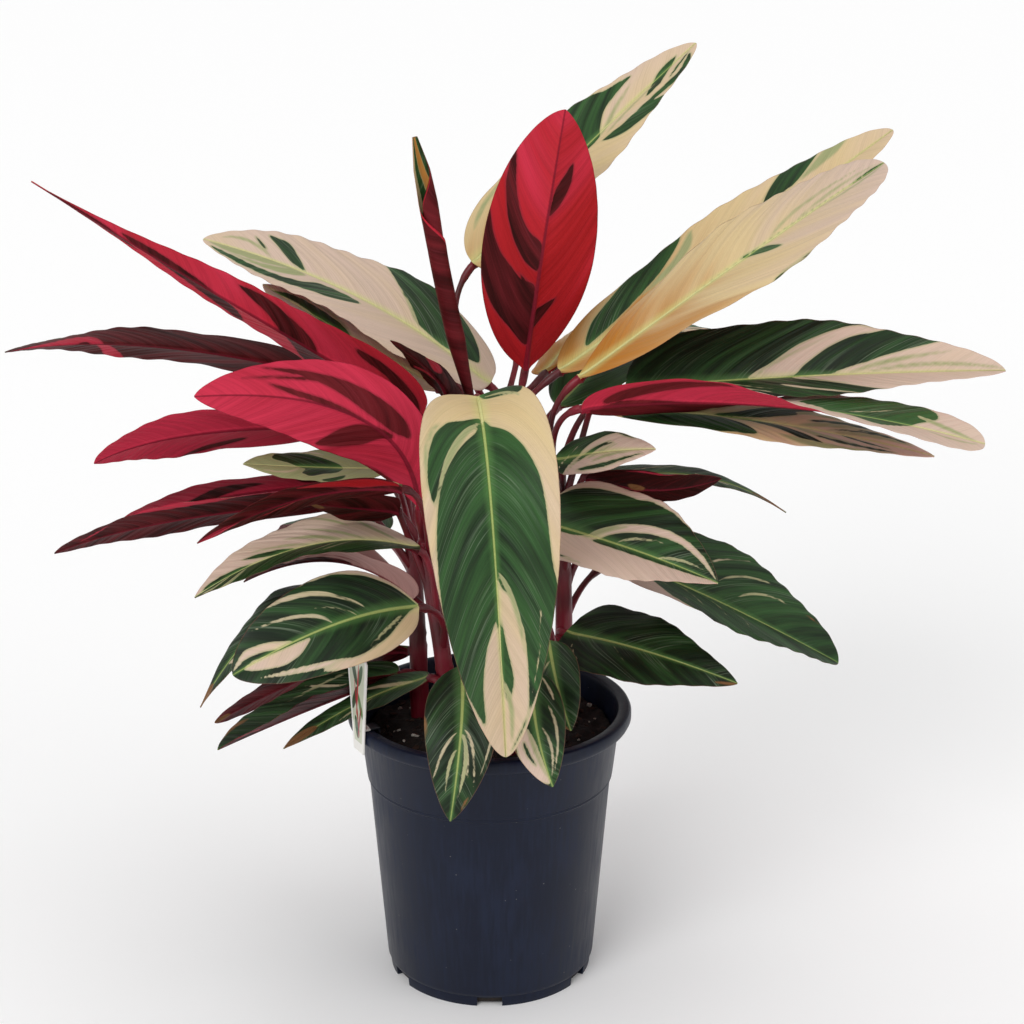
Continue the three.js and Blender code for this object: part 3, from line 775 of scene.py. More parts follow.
@dataclass
class Shoot:
    """A sheathed stem: the leaf sheaths wrap one over the next, so its radius steps down at each rim."""

    name: str
    path: tuple[Place, ...]
    foot: float
    top: float
    sheaths: int = 5
    steps: int = 80
    sides: int = 24
    halvings: int = 30
    # A sheath is slimmest above the last rim and flares at its own, which slants by a share of its length.
    slim: float = 0.94
    flare: float = 0.1
    slant: float = 0.25
    # Each rim is turned from the last by this many radians.
    rim_turn: float = 2.4

    def at(self, height: float) -> Vector:
        """The centre of the shoot at a height.

        Args:
            height: the height in millimetres.

        Returns:
            The point.
        """
        low, high = 0.0, 1.0
        for _ in range(self.halvings):
            middle = (low + high) / 2
            if catmull(self.path, middle).z < height:
                low = middle
            else:
                high = middle
        return catmull(self.path, low)

    def build(self, materials: Materials) -> bpy.types.Object:
        """Build the stem and dress it.

        Args:
            materials: the stem's one material.

        Returns:
            The piece.
        """
        skin = Skin("shoot_" + self.name)
        angles = np.linspace(0, TURN, self.sides + 1)
        for step in range(self.steps + 1):
            share = step / self.steps
            radius = self.foot + (self.top - self.foot) * share
            sheath = share * self.sheaths
            lip = (sheath - self.slant * np.cos(angles + self.rim_turn * int(sheath))) % 1.0
            closing = min(1.0, (1 - share) * 22 + 0.25)
            radii = radius * (self.slim + self.flare * lip**6) * closing
            points = Ring.on_path(self.path, share).spread(radii * np.cos(angles), radii * np.sin(angles))
            uv = np.column_stack([angles, np.full_like(angles, share)])
            skin.add(points, uv, np.zeros(len(angles), int))
        mesh = skin.build(materials, "turn")
        return publish("stem_" + self.name, mesh, Slot.STEM, ("shoot_" + self.name,))


# ---- Leaves ----


def read_markings(rows: str) -> list[tuple[Tissue, list[float]]]:
    """Read a leaf's markings from text.

    Args:
        rows: for each marking, the letter of its tissue and then its numbers.

    Returns:
        The tissue and the numbers of each marking.
    """
    markings = []
    for word in rows.split():
        if word.isalpha():
            markings.append((Tissue(word), []))
        else:
            markings[-1][1].append(float(word))
    return markings


def brush(points: np.ndarray, ends: np.ndarray, wide: float) -> np.ndarray:
    """How far points lie inside a streak that is drawn in one stroke and runs out to a point.

    Args:
        points: places on the blade in millimetres.
        ends: three points that the stroke passes through.
        wide: its half width in millimetres.

    Returns:
        Millimetres inside the streak, negative outside.
    """
    t = np.linspace(0, 1, STROKE_STOPS)
    bend = 2 * ends[1] - 0.5 * ends[0] - 0.5 * ends[2]
    line = np.outer((1 - t) ** 2, ends[0]) + np.outer(2 * t * (1 - t), bend) + np.outer(t * t, ends[2])
    lens = wide * (1 - np.abs(2 * t**0.85 - 1) ** 2.2) ** 0.7
    return np.max(lens - np.hypot(points[:, :1] - line[:, 0], points[:, 1:] - line[:, 1]), axis=1)


def patch(points: np.ndarray, corners: np.ndarray) -> np.ndarray:
    """How far points lie inside a closed patch with a smooth outline.

    Args:
        points: places on the blade in millimetres.
        corners: the points that its outline passes through, in order.

    Returns:
        Millimetres inside the patch, negative outside.
    """
    before, after, far = np.roll(corners, 1, 0), np.roll(corners, -1, 0), np.roll(corners, -2, 0)
    t = np.linspace(0, 1, PATCH_STEPS, endpoint=False)[None, :, None]
    slope0, slope1 = (after - before)[:, None] * ROUNDNESS, (far - corners)[:, None] * ROUNDNESS
    first, last = corners[:, None], after[:, None]
    outline = first + slope0 * t + (3 * (last - first) - 2 * slope0 - slope1) * t**2
    outline = (outline + (2 * (first - last) + slope0 + slope1) * t**3).reshape(-1, 2)
    along = np.roll(outline, -1, 0) - outline
    gap = points[:, None] - outline
    share = np.clip((gap * along).sum(2) / np.maximum((along**2).sum(1), TINY), 0, 1)
    reach = np.linalg.norm(gap - share[..., None] * along, axis=2).min(axis=1)
    low, high = outline[:, 1], outline[:, 1] + along[:, 1]
    crosses = (low <= points[:, 1:]) != (high <= points[:, 1:])
    rise = np.where(along[:, 1] == 0, TINY, along[:, 1])
    where = outline[:, 0] + (points[:, 1:] - low) / rise * along[:, 0]
    inside = (crosses & (where > points[:, :1])).sum(axis=1) % 2 == 1
    return np.where(inside, reach, -reach)


@dataclass
class Leaf:
    """One leaf: petiole, pulvinus and blade in one skin, with streaks that run out along its veins.

    The midrib passes through base, mid and tip. faces is the way that the upper side looks. left and
    right give the slope of each half at the rib and its further turn to the margin, in degrees.
    ground names the tissue of the left and the right half. Each marking in streaks gives the letter
    of its tissue, three points that it passes through and its half width in millimetres, and one with
    more points is a patch with that outline. A point is a share of the length and a share of half
    the widest width, negative to the left. rise and fall shape the outline towards the base and
    the tip. hook tells how far the petiole comes in along the midrib. warm gives the warmth of
    the pale tissue at the base and the tip, light how pale the green is, and faded how far the
    pale tissue of the underside has lost its red.
    """

    name: str
    shoot: str
    start: float
    base: Place
    mid: Place
    tip: Place
    width: float
    faces: Place
    slot: Slot
    ground: tuple[Tissue, Tissue] = (G, G)
    left: tuple[float, float] = (12, -20)
    right: tuple[float, float] = (12, -20)
    rise: float = 0.5
    fall: float = 0.75
    twist: float = 0.0
    hook: float = 0.45
    warm: tuple[float, float] = (0.3, 0.3)
    light: float = 0.0
    faded: float = 0.0
    streaks: str = ""

    STROKE_NUMBERS = 7
    THICKNESS = 0.5
    LEAST_HALF_WIDTH = 0.5
    PETIOLE_RADIUS = 1.7
    PETIOLE_STEP = 4
    PETIOLE_RINGS = 12
    # The petiole widens to its sheath over this run, and to the pulvinus over a shorter one.
    SHEATH = 1.1
    SHEATH_RUN = 14
    PULVINUS_RADIUS = 2.4
    PULVINUS_LENGTH = 14.0
    PULVINUS_RUN = 1.1
    # Side veins leave the midrib at a slant and bend on towards the tip.
    VEIN_SLANT = 0.8
    VEIN_BEND = 1.9
    # By this share of the length the rows of the mesh follow the veins in full.
    LEAN_BY = 0.35
    PLEAT = 0.17
    PLEAT_LENGTH = 8.5
    # The blade is thickest where it leaves the pulvinus, and its keel is deepest and widest there.
    BASE_HALF_WIDTH = 2.0
    BASE_THICKNESS = 3.4
    BASE_RUN = 3.5
    KEEL = 1.5
    KEEL_WIDTH = 1.3
    WAVE = 0.05
    RUFFLE = 0.016
    RUFFLE_LENGTH = 21
    LEAST_TURN = 1e-3
    MARGIN = 0.985
    STEPS = 36
    ROW_MM = 1.7
    LEAST_ROWS = 30
    HALVINGS = 26
    MIDRIB_STOPS = 61
    RING_STOPS = 241
    # Streaks at random places: the least and the greatest number, start, run and half width of them.
    CHANCE_COUNT = (5, 7)
    CHANCE_START = (0.05, 0.75)
    CHANCE_RUN = (0.22, 0.34)
    CHANCE_WIDE = (1, 5.5)

    def __post_init__(self) -> None:
        """Work out the midrib curve, its length and the leaf's own seed."""
        self.first, self.last = Vector(self.base), Vector(self.tip)
        self.control = 2 * Vector(self.mid) - 0.5 * self.first - 0.5 * self.last
        self.heading = self.midrib(0.5)[1]
        up = Vector(self.faces)
        self.up = (up - up.dot(self.heading) * self.heading).normalized()
        stops = [self.midrib(i / (self.MIDRIB_STOPS - 1))[0] for i in range(self.MIDRIB_STOPS)]
        self.length = sum((b - a).length for a, b in zip(stops, stops[1:]))
        self.seed = sum(ord(letter) * (i + 3) for i, letter in enumerate(self.name)) % 97
        self.markings = read_markings(self.streaks) or self.chance_markings()

    def chance_markings(self) -> list[tuple[Tissue, list[float]]]:
        """Pale streaks at random places, for a leaf without streaks of its own.

        Returns:
            The tissue and the numbers of each marking.
        """
        draw = random.Random(self.name)
        markings = []
        for _ in range(draw.randint(*self.CHANCE_COUNT)):
            side, first = draw.choice((-1, 1)), draw.uniform(*self.CHANCE_START)
            run = draw.uniform(*self.CHANCE_RUN)
            points = [first, 0.02 * side, first + 0.42 * run, 0.45 * side, min(1.05, first + run), 0.98 * side]
            markings.append((draw.choice((C, C, C, S)), [*points, draw.uniform(*self.CHANCE_WIDE)]))
        return markings

    def midrib(self, share: float) -> tuple[Vector, Vector]:
        """The point and the unit tangent of the midrib at a share of its length."""
        return bezier(self.first, self.control, self.last, share)

    def ring(self, share: float) -> tuple[Ring, Vector]:
        """The plane of the blade's section at a share of its length, and the midrib's tangent there.

        Args:
            share: how far along it, from 0 to 1.

        Returns:
            The plane and the unit tangent.
        """
        point, tangent = self.midrib(share)
        normal = self.heading.rotation_difference(tangent) @ self.up
        normal.rotate(Quaternion(tangent, math.radians(self.twist * (share - 0.5))))
        return Ring(point, tangent.cross(normal), normal), tangent

    def half_width(self, share: np.ndarray) -> np.ndarray:
        """Half the blade's width in millimetres at shares of its length.

        Args:
            share: how far along the blade.

        Returns:
            The half widths.
        """
        peak = self.rise / (self.rise + self.fall)
        reach = share**self.rise * (1 - share) ** self.fall
        widest = peak**self.rise * (1 - peak) ** self.fall
        return np.maximum(self.width / 2 * reach / widest, self.LEAST_HALF_WIDTH)

    def vein_lead(self, x: np.ndarray) -> np.ndarray:
        """How far a side vein has run past its start on the midrib, at x millimetres off the midrib."""
        return self.VEIN_SLANT * np.abs(x) + self.VEIN_BEND * x * x / self.width

    def lean_rows(self, u: np.ndarray) -> tuple[np.ndarray, np.ndarray]:
        """Where the mesh's rows cross the blade: straight at the base, then more and more along the veins.

        Args:
            u: places across, from -1 at the left margin to 1 at the right.

        Returns:
            The shares of the blade's length that each row crosses, and how far each row follows the veins.
        """
        rows = max(self.LEAST_ROWS, round(self.length / self.ROW_MM))
        step = np.arange(rows + 1)[:, None] / rows
        start = 0.75 * step + 0.125 * (1 - np.cos(np.pi * step))
        reach = np.clip(start / self.LEAN_BY, 0, 1)
        lean = reach * reach * (3 - 2 * reach)
        low, high = start + 0 * u, np.ones((rows + 1, len(u)))
        for _ in range(self.HALVINGS):
            middle = (low + high) / 2
            early = middle - lean * self.vein_lead(u * self.half_width(middle)) / self.length < start
            low, high = np.where(early, middle, low), np.where(early, high, middle)
        return (low + high) / 2, lean

    def section(self, u: np.ndarray, half: np.ndarray, share: np.ndarray) -> tuple[np.ndarray, ...]:
        """Where the blade's middle surface lies across its sections.

        Args:
            u: places across, from -1 at the left margin to 1 at the right.
            half: half the blade's width there, in millimetres.
            share: how far along the blade that is.

        Returns:
            The offsets across and up in millimetres, and the slope in radians.
        """
        left = u < 0
        slope = np.radians(np.where(left, self.left[0], self.right[0]))
        turn = np.radians(np.where(left, self.left[1], self.right[1]))
        turn = np.where(np.abs(turn) < self.LEAST_TURN, self.LEAST_TURN, turn)
        end = slope + turn * np.abs(u)
        across = (np.sin(end) - np.sin(slope)) * half / turn
        up = (np.cos(slope) - np.cos(end)) * half / turn
        wave = np.sin(TURN * (2 * share + np.where(left, 0.1, 0.55)))
        start = share * self.length - self.vein_lead(u * half)
        ruffle = np.sin(TURN * (start / self.RUFFLE_LENGTH + self.seed / 9 + 0.4 * left))
        ruffle = self.RUFFLE * half * np.abs(u) ** 5 * np.clip(share / self.LEAN_BY, 0, 1) * ruffle
        up = up + self.WAVE * half * u * u * wave + ruffle
        return np.sign(u) * across, up, np.where(u == 0, 0, end) * np.sign(u)

    def paint(self, along: np.ndarray, across: np.ndarray) -> dict[str, np.ndarray]:
        """Paint the ground and the streaks as distances into each tissue.

        Args:
            along: places along the midrib in millimetres.
            across: places across it in millimetres, negative to the left.

        Returns:
            For each tissue, millimetres inside its patches, negative outside.
        """
        # Keyed by whether the left and the right half are of the tissue.
        on_ground = {
            (True, True): REACH, (True, False): -across, (False, True): across, (False, False): -REACH,
        }
        left, right = self.ground
        fields = {
            tissue: np.clip(on_ground[left is tissue, right is tissue] + 0 * across, -REACH, REACH)
            for tissue in (G, S, D)
        }
        scale = np.array([self.length, self.width / 2])
        points = np.column_stack([along, across])
        for tissue, numbers in self.markings:
            if len(numbers) == self.STROKE_NUMBERS:
                inside = brush(points, np.array(numbers[:-1]).reshape(3, 2) * scale, numbers[-1])
            else:
                inside = patch(points, np.array(numbers).reshape(-1, 2) * scale)
            inside = np.clip(inside, -REACH, REACH)
            for other in (D,) if tissue is D else (G, S):
                if other is tissue:
                    fields[other] = np.maximum(fields[other], inside)
                else:
                    fields[other] = np.minimum(fields[other], -inside)
        return {tissue.name.lower(): values for tissue, values in fields.items()}

    def add_petiole(self, skin: Skin, root: Vector, circle: np.ndarray) -> None:
        """Add the petiole's rings, from inside the shoot to the end of the pulvinus.

        Args:
            skin: the leaf's skin.
            root: where the petiole starts.
            circle: the angles of the ring's points.
        """
        ring, tangent = self.ring(0)
        reach = (ring.centre - root).length
        control = ring.centre - self.hook * reach * tangent
        joint = self.PULVINUS_LENGTH / reach
        rings = max(self.PETIOLE_RINGS, round(reach / self.PETIOLE_STEP))
        for share in np.linspace(0, 1 - 0.2 * joint, rings):
            centre, ahead = bezier(root, control, ring.centre, float(share))
            turn = tangent.rotation_difference(ahead)
            swell = 1 / (1 + math.exp((1 - 0.95 * joint - share) * reach / self.PULVINUS_RUN))
            sheath = self.SHEATH * math.exp(-share * reach / self.SHEATH_RUN)
            radius = self.PETIOLE_RADIUS + sheath + (self.PULVINUS_RADIUS - self.PETIOLE_RADIUS) * swell
            plane = Ring(centre, turn @ ring.side, turn @ ring.normal)
            points = plane.spread(radius * np.cos(circle), radius * np.sin(circle))
            uv = np.column_stack([radius * np.cos(circle), np.full_like(circle, (share - 1) * reach)])
            skin.add(
                points, uv, np.full(len(circle), 2), green=-REACH, sage=-REACH, dry=-REACH, warm=self.warm[0],
                light=self.light, faded=self.faded, along=0.0, edge=OFF_EDGE, seed=float(self.seed),
            )

    def build(self, shoots: dict[str, Shoot], materials: Materials) -> bpy.types.Object:
        """Build the leaf and dress it.

        Args:
            shoots: the stems by name.
            materials: the upper side's, the underside's and the petiole's.

        Returns:
            The piece.
        """
        spread = np.linspace(-1, 1, self.STEPS - 1)
        spread = np.concatenate([[-1], self.MARGIN * np.sign(spread) * np.abs(spread) ** 1.25, [1]])
        u = np.concatenate([spread, spread[-2::-1]])
        facing = np.where(np.arange(len(u)) <= self.STEPS, 1.0, -1.0)
        facing[[0, self.STEPS, -1]] = 0
        circle = np.linspace(np.pi, -np.pi, len(u))
        skin = Skin("leaf_" + self.name)
        self.add_petiole(skin, shoots[self.shoot].at(self.start), circle)

        share, lean = self.lean_rows(u)
        half = self.half_width(share)
        half[0] = self.BASE_HALF_WIDTH
        across, up, slope = self.section(u, half, share)
        along, x = share * self.length, u * half
        start = along - self.vein_lead(x)
        fold = np.sin(TURN * start / self.PLEAT_LENGTH + 1.3 * np.sin(start / 31 + self.seed))
        fold = self.PLEAT * lean * fold * (1 - np.exp(-np.abs(x) / 5))
        up = up + fold * (1 - u**6) * np.minimum(1, half / 12)
        thick = self.THICKNESS + self.BASE_THICKNESS * np.exp(-along / self.BASE_RUN)
        thick = thick * np.sqrt(1 - np.abs(u) ** 8)
        keel = np.exp(-((x / (self.KEEL_WIDTH - 0.8 * share)) ** 2)) * (facing < 0)
        keel = (self.KEEL * (1 - share) + 0.15) * keel
        lift = facing * thick / 2 - keel
        across, up = across - np.sin(slope) * lift, up + np.cos(slope) * lift

        stops = np.linspace(0, 1, self.RING_STOPS)
        rings = [self.ring(float(stop))[0] for stop in stops]
        frames = np.array([(ring.centre, ring.side, ring.normal) for ring in rings])
        centre, side, normal = (
            np.stack([np.interp(share, stops, axis) for axis in way.T], -1)
            for way in frames.transpose(1, 0, 2)
        )
        points = centre + across[..., None] * side + up[..., None] * normal
        uv = np.stack([x, start], -1)
        slots = np.where(np.arange(len(u)) < self.STEPS, 0, 1)
        tissues = self.paint(along.ravel(), x.ravel())
        floats = {name: values.reshape(share.shape) for name, values in tissues.items()}
        floats["warm"] = self.warm[0] + (self.warm[1] - self.warm[0]) * share
        floats["along"] = share
        floats["edge"] = half * (1 - np.abs(u)) + 2 * (half < 1.2)
        steady = {"light": self.light, "faded": self.faded, "seed": self.seed}
        for row in range(len(share)):
            painted = {name: grid[row] for name, grid in floats.items()}
            skin.add(points[row], uv[row], slots, **painted, **steady)
        mesh = skin.build(materials)
        return publish("blade_" + self.name, mesh, self.slot, ("leaf_" + self.name,))


# ---- The plant ----

SHOOTS = (
    Shoot("left", ((-24, -22, 122), (-25, -24, 190), (-33, -38, 260), (-37, -46, 292)), 6.5, 4),
    Shoot("centre", ((0, -2, 122), (0, -8, 230), (4, -8, 330)), 7.5, 4.5),
    Shoot("right", ((44, 4, 122), (44, 0, 235), (40, -10, 325)), 6.5, 4),
    Shoot("back", ((8, 42, 122), (6, 42, 250), (4, 40, 345)), 7, 4),
    Shoot("side", ((-42, 16, 122), (-44, 14, 230), (-48, 8, 305)), 6.5, 4),
    Shoot("front", ((14, -36, 122), (12, -40, 200), (10, -42, 232)), 6, 4),
)

LEAVES = (
    Leaf(
        "tall_back", "back", 335, (-9, 62, 425), (47, 75, 482), (122, 100, 549), 62, (-0.57, -0.39, 0.72),
        Slot.VARIEGATED, (C, C), left=(26, -6), right=(8, -20), rise=0.42, fall=0.63, warm=(1.2, 0.35),
        light=0.2, streaks="""
        G .55 .1 .56 -.5 .6 -.9 .66 -.92 .74 -.66 .82 -.5 .755 -.42 .69 -.3 .64 -.05 .62 .12 S .63 .1 .7
        -.12 .8 -.34 1.2 G .62 .28 .69 .36 .79 .38 .9 .36 .965 .12 .95 .3 .88 .5 .8 .5 .85 .7 .77 .7 .69
        .62 .64 .46 G .8 .22 .84 .02 .88 -.1 .94 -.1 .9 .04 .85 .22 G .88 .3 .92 .18 .97 .06 .8 S .64 .22
        .74 .12 .86 .1 1 S .1 -.5 .2 -.75 .32 -.9 1.6 G .12 0 .2 .5 .34 1 .46 1 .34 .5 .26 0""",
    ),
    Leaf(
        "upright_red", "centre", 320, (21, 0, 378), (31, -10, 451), (43, 10, 523), 68, (0, 1, 0.2), Slot.RED,
        (C, C), left=(29, -6), right=(11, -18), rise=0.63, fall=0.65, warm=(1.3, 0.45), streaks="""
        G .1 .03 .155 .35 .23 .67 .31 .86 .41 1 .62 1 .52 .85 .445 .67 .39 .44 .35 .26 .33 .03 G .33 .02
        .35 .2 .38 .34 .8 G .4 .03 .425 .26 .5 .49 .6 .67 .725 .77 .85 .7 .7 .59 .6 .44 .54 .26 .5 .03 G
        .17 -.02 .22 -.2 .29 -.4 .26 -.15 .24 -.02 G .61 -.02 .66 -.2 .745 -.33 .82 -.32 .77 -.19 .7 -.05""",
    ),
    Leaf(
        "pale_back", "back", 340, (33, 30, 367), (47, 60, 377), (65, 95, 387), 40, (-0.66, -0.3, 0.69),
        Slot.VARIEGATED, (C, C), warm=(1.7, 1.2), streaks="""
        G .5 .75 .7 .7 .9 .3 1.6""",
    ),
    Leaf(
        "left_cream", "centre", 300, (0, 14, 364), (-74, 23, 413), (-164, 30, 446), 78, (0.41, -0.29, 0.87),
        Slot.VARIEGATED, (C, C), left=(13, -14), right=(15, -10), rise=0.36, fall=0.6, warm=(0.2, 0.1),
        light=0.1, streaks="""
        S .68 -.08 .71 -.28 .78 -.38 .88 -.3 .98 -.05 .88 -.02 .76 -.02 C .74 -.1 .82 -.24 .92 -.2 .8 G .49
        -.22 .53 -.4 .58 -.54 .66 -.61 .75 -.6 .85 -.5 .93 -.34 .97 -.18 .9 -.3 .82 -.42 .74 -.46 .68 -.4
        .63 -.2 .55 -.17 G .69 .03 .74 .12 .8 .36 .83 .5 .77 .48 .73 .3 .7 .12 G .82 .18 .84 .26 .865 .38
        .9 S .8 .06 .88 .24 .95 .16 1.2 G .07 .22 .1 .5 .17 .8 .3 1.05 .48 1.02 .42 .66 .36 .38 .31 .14 .2
        .04 .12 .12 S .3 .12 .35 .36 .41 .62 .8""",
    ),
    Leaf(
        "left_cream_low", "side", 298, (-28, -5, 367), (-85, 5, 398), (-129, 15, 423), 54,
        (0.44, -0.24, 0.87), Slot.VARIEGATED, (C, C), warm=(0.35, 0.3), light=0.2, streaks="""
        G .39 -.25 .47 -.34 .56 -.2 .68 .04 .8 .06 .93 -.04 .82 .24 .66 .32 .52 .24 .43 0 S .45 .1 .6 .4
        .76 .36 1.4 G .1 -.3 .3 -.6 .5 -.9 4""",
    ),
    Leaf(
        "crown_dark", "left", 274, (-23, -17, 365), (-32, -29, 383), (-54, -33, 402), 36, (0.59, 0.52, 0.61),
        Slot.RED, (G, G), hook=0.2, warm=(0.2, 0.2), streaks="""
        C .5 -.3 .6 -.6 .72 -.85 4 C .3 .2 .45 .5 .6 .8 3""",
    ),
    Leaf(
        "long_red", "left", 285, (-36, -40, 362), (-143, -50, 430), (-239, -70, 497), 46, (0.49, 0.66, 0.57),
        Slot.RED, (C, C), left=(27, -6), right=(14, -18), rise=0.4, fall=1.5, twist=0, warm=(0.5, 0.4),
        streaks="""
        G .0 .1 .03 -.3 .08 -.56 .14 -.72 .2 -.72 .18 -.56 .11 -.42 .06 -.1 G .23 .5 .257 .04 .295 -.3 .36
        -.54 .42 -.68 .49 -.56 .41 -.3 .36 -.03 .32 .38 .28 .85 .245 .9 G .43 .75 .46 .31 .51 .04 .57 -.09
        .68 -.17 .77 -.1 .68 .11 .59 .3 .51 .52 G .72 .2 .79 -.03 .89 -.05 .96 0 .82 .12""",
    ),
    Leaf(
        "left_maroon", "side", 300, (-92, 5, 372), (-194, 0, 391), (-271, -20, 392), 52, (0.07, 0.57, 0.82),
        Slot.MAROON, (G, G), twist=-20, warm=(0.3, 0.1), light=0.15, streaks="""
        C .57 .98 .6 .5 .63 .1 .66 -.25 .7 -.42 .76 -.4 .83 -.2 .92 -.06 .98 0 .9 .2 .8 .2 .74 .02 .7 -.1
        .67 .15 .65 .5 .63 .95 C .05 .5 .12 .8 .25 1.02 2""",
    ),
    Leaf(
        "bright_red", "left", 290, (-38, -67, 316), (-69, -80, 371), (-156, -88, 385), 54, (0.12, 0.8, 0.08),
        Slot.RED, (C, C), rise=0.85, fall=0.7, warm=(0.3, 0), light=0.55, streaks="""
        G .29 -.33 .35 -.5 .47 -.57 .63 -.62 .83 -.63 .71 -.5 .63 -.38 .55 -.25 .47 -.16 .36 -.15 G .66
        -.48 .76 -.44 .88 -.37 .8 G .47 .0 .59 -.08 .71 -.16 .81 -.27 .74 -.08 .6 .01 G .335 -.1 .36 .08
        .38 .25 .41 .52 .5 .78 .62 .93 .58 .66 .54 .42 .49 .17 .42 -.02 G .05 .25 .15 .5 .3 .8 1.2""",
    ),
    Leaf(
        "magenta", "side", 280, (-85, -25, 350), (-165, -48, 352), (-217, -60, 339), 44, (-0.17, 0.74, 0.65),
        Slot.RED, (C, C), warm=(-0.1, -0.2), light=0.2, streaks="""
        G .02 -.1 .12 -.5 .24 -.9 3 G .28 .5 .4 .75 .55 .95 2""",
    ),
    Leaf(
        "small_sage", "side", 268, (-58, -35, 328), (-97, -42, 331), (-135, -58, 338), 40, (0.03, -0.2, 0.98),
        Slot.GREEN, (S, S), hook=0.1, warm=(0.2, 0.2), streaks="""
        G .3 -.03 .35 -.34 .46 -.5 .56 -.68 .62 -.5 .58 -.19 .66 .12 .78 .36 .7 .78 .54 .76 .42 .44 .33 .2
        G .28 -.5 .4 -.75 .52 -.9 1.6 C .62 -.1 .72 -.4 .88 -.3 .7 C .42 .6 .5 .85 .6 1 1""",
    ),
    Leaf(
        "low_maroon", "left", 280, (-70, -38, 311), (-170, -60, 307), (-240, -70, 290), 38,
        (-0.17, 0.66, 0.73), Slot.MAROON, (G, G), warm=(0.3, 0.2), streaks="""
        C .34 -1 .4 -.72 .55 -.66 .68 -.9 .6 -1.05 C .74 -.6 .8 -.3 .88 -.1 .8""",
    ),
    Leaf(
        "low_red_far", "side", 250, (-80, -12, 313), (-154, -28, 309), (-209, -40, 298), 36,
        (-0.16, 0.7, 0.69), Slot.RED, (C, C), hook=0, warm=(0.3, 0), streaks="""
        G .31 -.4 .4 -.57 .5 -.52 .61 -.15 .7 .12 .6 .13 .5 -.04 .41 -.24 G .18 .5 .34 .34 .5 .42 .7 .52
        .84 .45 .7 .84 .5 1 .3 .95 G .0 -.1 .1 -.5 .2 -.7 .16 -.2""",
    ),
    Leaf(
        "narrow_red", "left", 270, (-46, -90, 334), (-101, -95, 330), (-156, -102, 307), 32,
        (-0.27, 0.61, 0.74), Slot.RED, (G, G), hook=0.2, warm=(1, 0.3), streaks="""
        C .0 -.3 .1 -.6 .3 -.9 .5 -.8 .4 -.5 .2 -.1 C .8 .1 .92 .1 1 0 3 C .5 .1 .6 .4 .75 .5 .8""",
    ),
    Leaf(
        "dark_mid", "left", 250, (-50, -58, 311), (-69, -66, 315), (-97, -76, 321), 34, (0.04, 0.75, 0.66),
        Slot.MAROON, (G, G), hook=0, warm=(0.4, 0.3), streaks="""
        D .86 .3 .95 .1 1 0 2""",
    ),
    Leaf(
        "cream_green", "left", 232, (-39, -60, 289), (-97, -80, 298), (-159, -100, 275), 54,
        (-0.19, -0.12, 0.97), Slot.VARIEGATED, (G, C), left=(16, -10), right=(16, -10), hook=0.15,
        warm=(0.15, 0), light=0.1, streaks="""
        S .78 -.04 .87 -.4 .95 -.3 1.6 S .85 -.02 .92 -.2 .97 -.1 1.3 S .3 -.05 .42 -.5 .5 -.8 .9 S .38
        -.03 .46 -.4 .56 -.75 .8 S .08 -.2 .16 -.5 .3 -.9 .6 G .57 .02 .62 .12 .7 .22 .78 .28 .72 .12 .66
        .03 G .76 .02 .82 .1 .92 .12 .96 .02 S .1 .15 .2 .5 .27 .8 1.6 S .25 .05 .36 .3 .5 .6 1.2 S .36 .05
        .46 .24 .6 .42 1.6 S .3 .5 .38 .75 .46 .95 1.2 S .5 .04 .6 .2 .74 .38 1""",
    ),
    Leaf(
        "fold_behind", "side", 230, (-44, -30, 249), (-87, -40, 275), (-139, -45, 264), 54, (0.11, 0.2, 0.97),
        Slot.VARIEGATED, (C, C), left=(25, -5), right=(25, -5), warm=(0, 0), faded=1, streaks="""
        G .4 .0 .47 -.16 .6 -.3 .73 -.22 .8 -.05 .7 .08 .55 .1 G .66 -.85 .78 -.35 .76 0 .7 .35 .5 .6 .3
        .75 .34 1.05 .6 1.1 1.05 .5 1.1 -.3 .9 -.9 S .36 -.14 .55 -.42 .78 -.3 .8 D .1 0 .12 .01 .13 .02
        .05""",
    ),
    Leaf(
        "big_green_left", "left", 215, (-40, -75, 260), (-83, -110, 263), (-136, -130, 242), 56,
        (-0.1, -0.7, 0.5), Slot.GREEN, (G, G), left=(15, -12), right=(15, -12), rise=0.6, fall=0.63,
        warm=(0.6, 0.1), light=-0.12, streaks="""
        C .0 .02 .04 .22 .12 .5 .24 .74 .38 .92 .36 1.1 .2 1 .1 .75 .02 .4 C -.03 -.04 .05 -.08 .16 -.33
        .27 -.6 .4 -.78 .53 -.85 .66 -.86 .5 -1.1 .3 -1.1 .08 -.7 S .12 -.16 .26 -.44 .42 -.76 .9 C .48
        -.86 .68 -.69 .92 -.34 1.9 C .63 -.08 .71 -.32 .8 -.37 .91 -.18 .95 -.02 .9 .04 .8 -.03 .71 -.05 C
        .71 .02 .76 .12 .82 .23 .92 .28 .99 .06 .93 .13 .85 .1 .78 0 C .31 .14 .4 .42 .53 .66 .8 C .5 .04
        .63 .4 .88 .56 1.1 C .43 .5 .6 .8 .83 .82 1.5 C .24 .8 .4 .96 .62 .95 1.1 S .36 .02 .46 .3 .56 .44
        .5""",
    ),
    Leaf(
        "green_curl", "side", 215, (-82, -45, 260), (-122, -72, 252), (-161, -85, 204), 42,
        (-0.55, -0.27, 0.79), Slot.GREEN, (G, G), fall=1.1, warm=(0.4, 0.2), streaks="""
        C .06 -.02 .18 -.26 .34 -.18 .5 .04 .68 .24 .5 .2 .3 .06 C .26 -.95 .38 -.6 .52 -.3 2.2 S .33 -.8
        .42 -.5 .54 -.28 .8 C .58 -.68 .7 -.4 .79 -.06 2.4 D .9 0 .95 0 1 0 3 C .15 .6 .2 .4 .3 .2 1""",
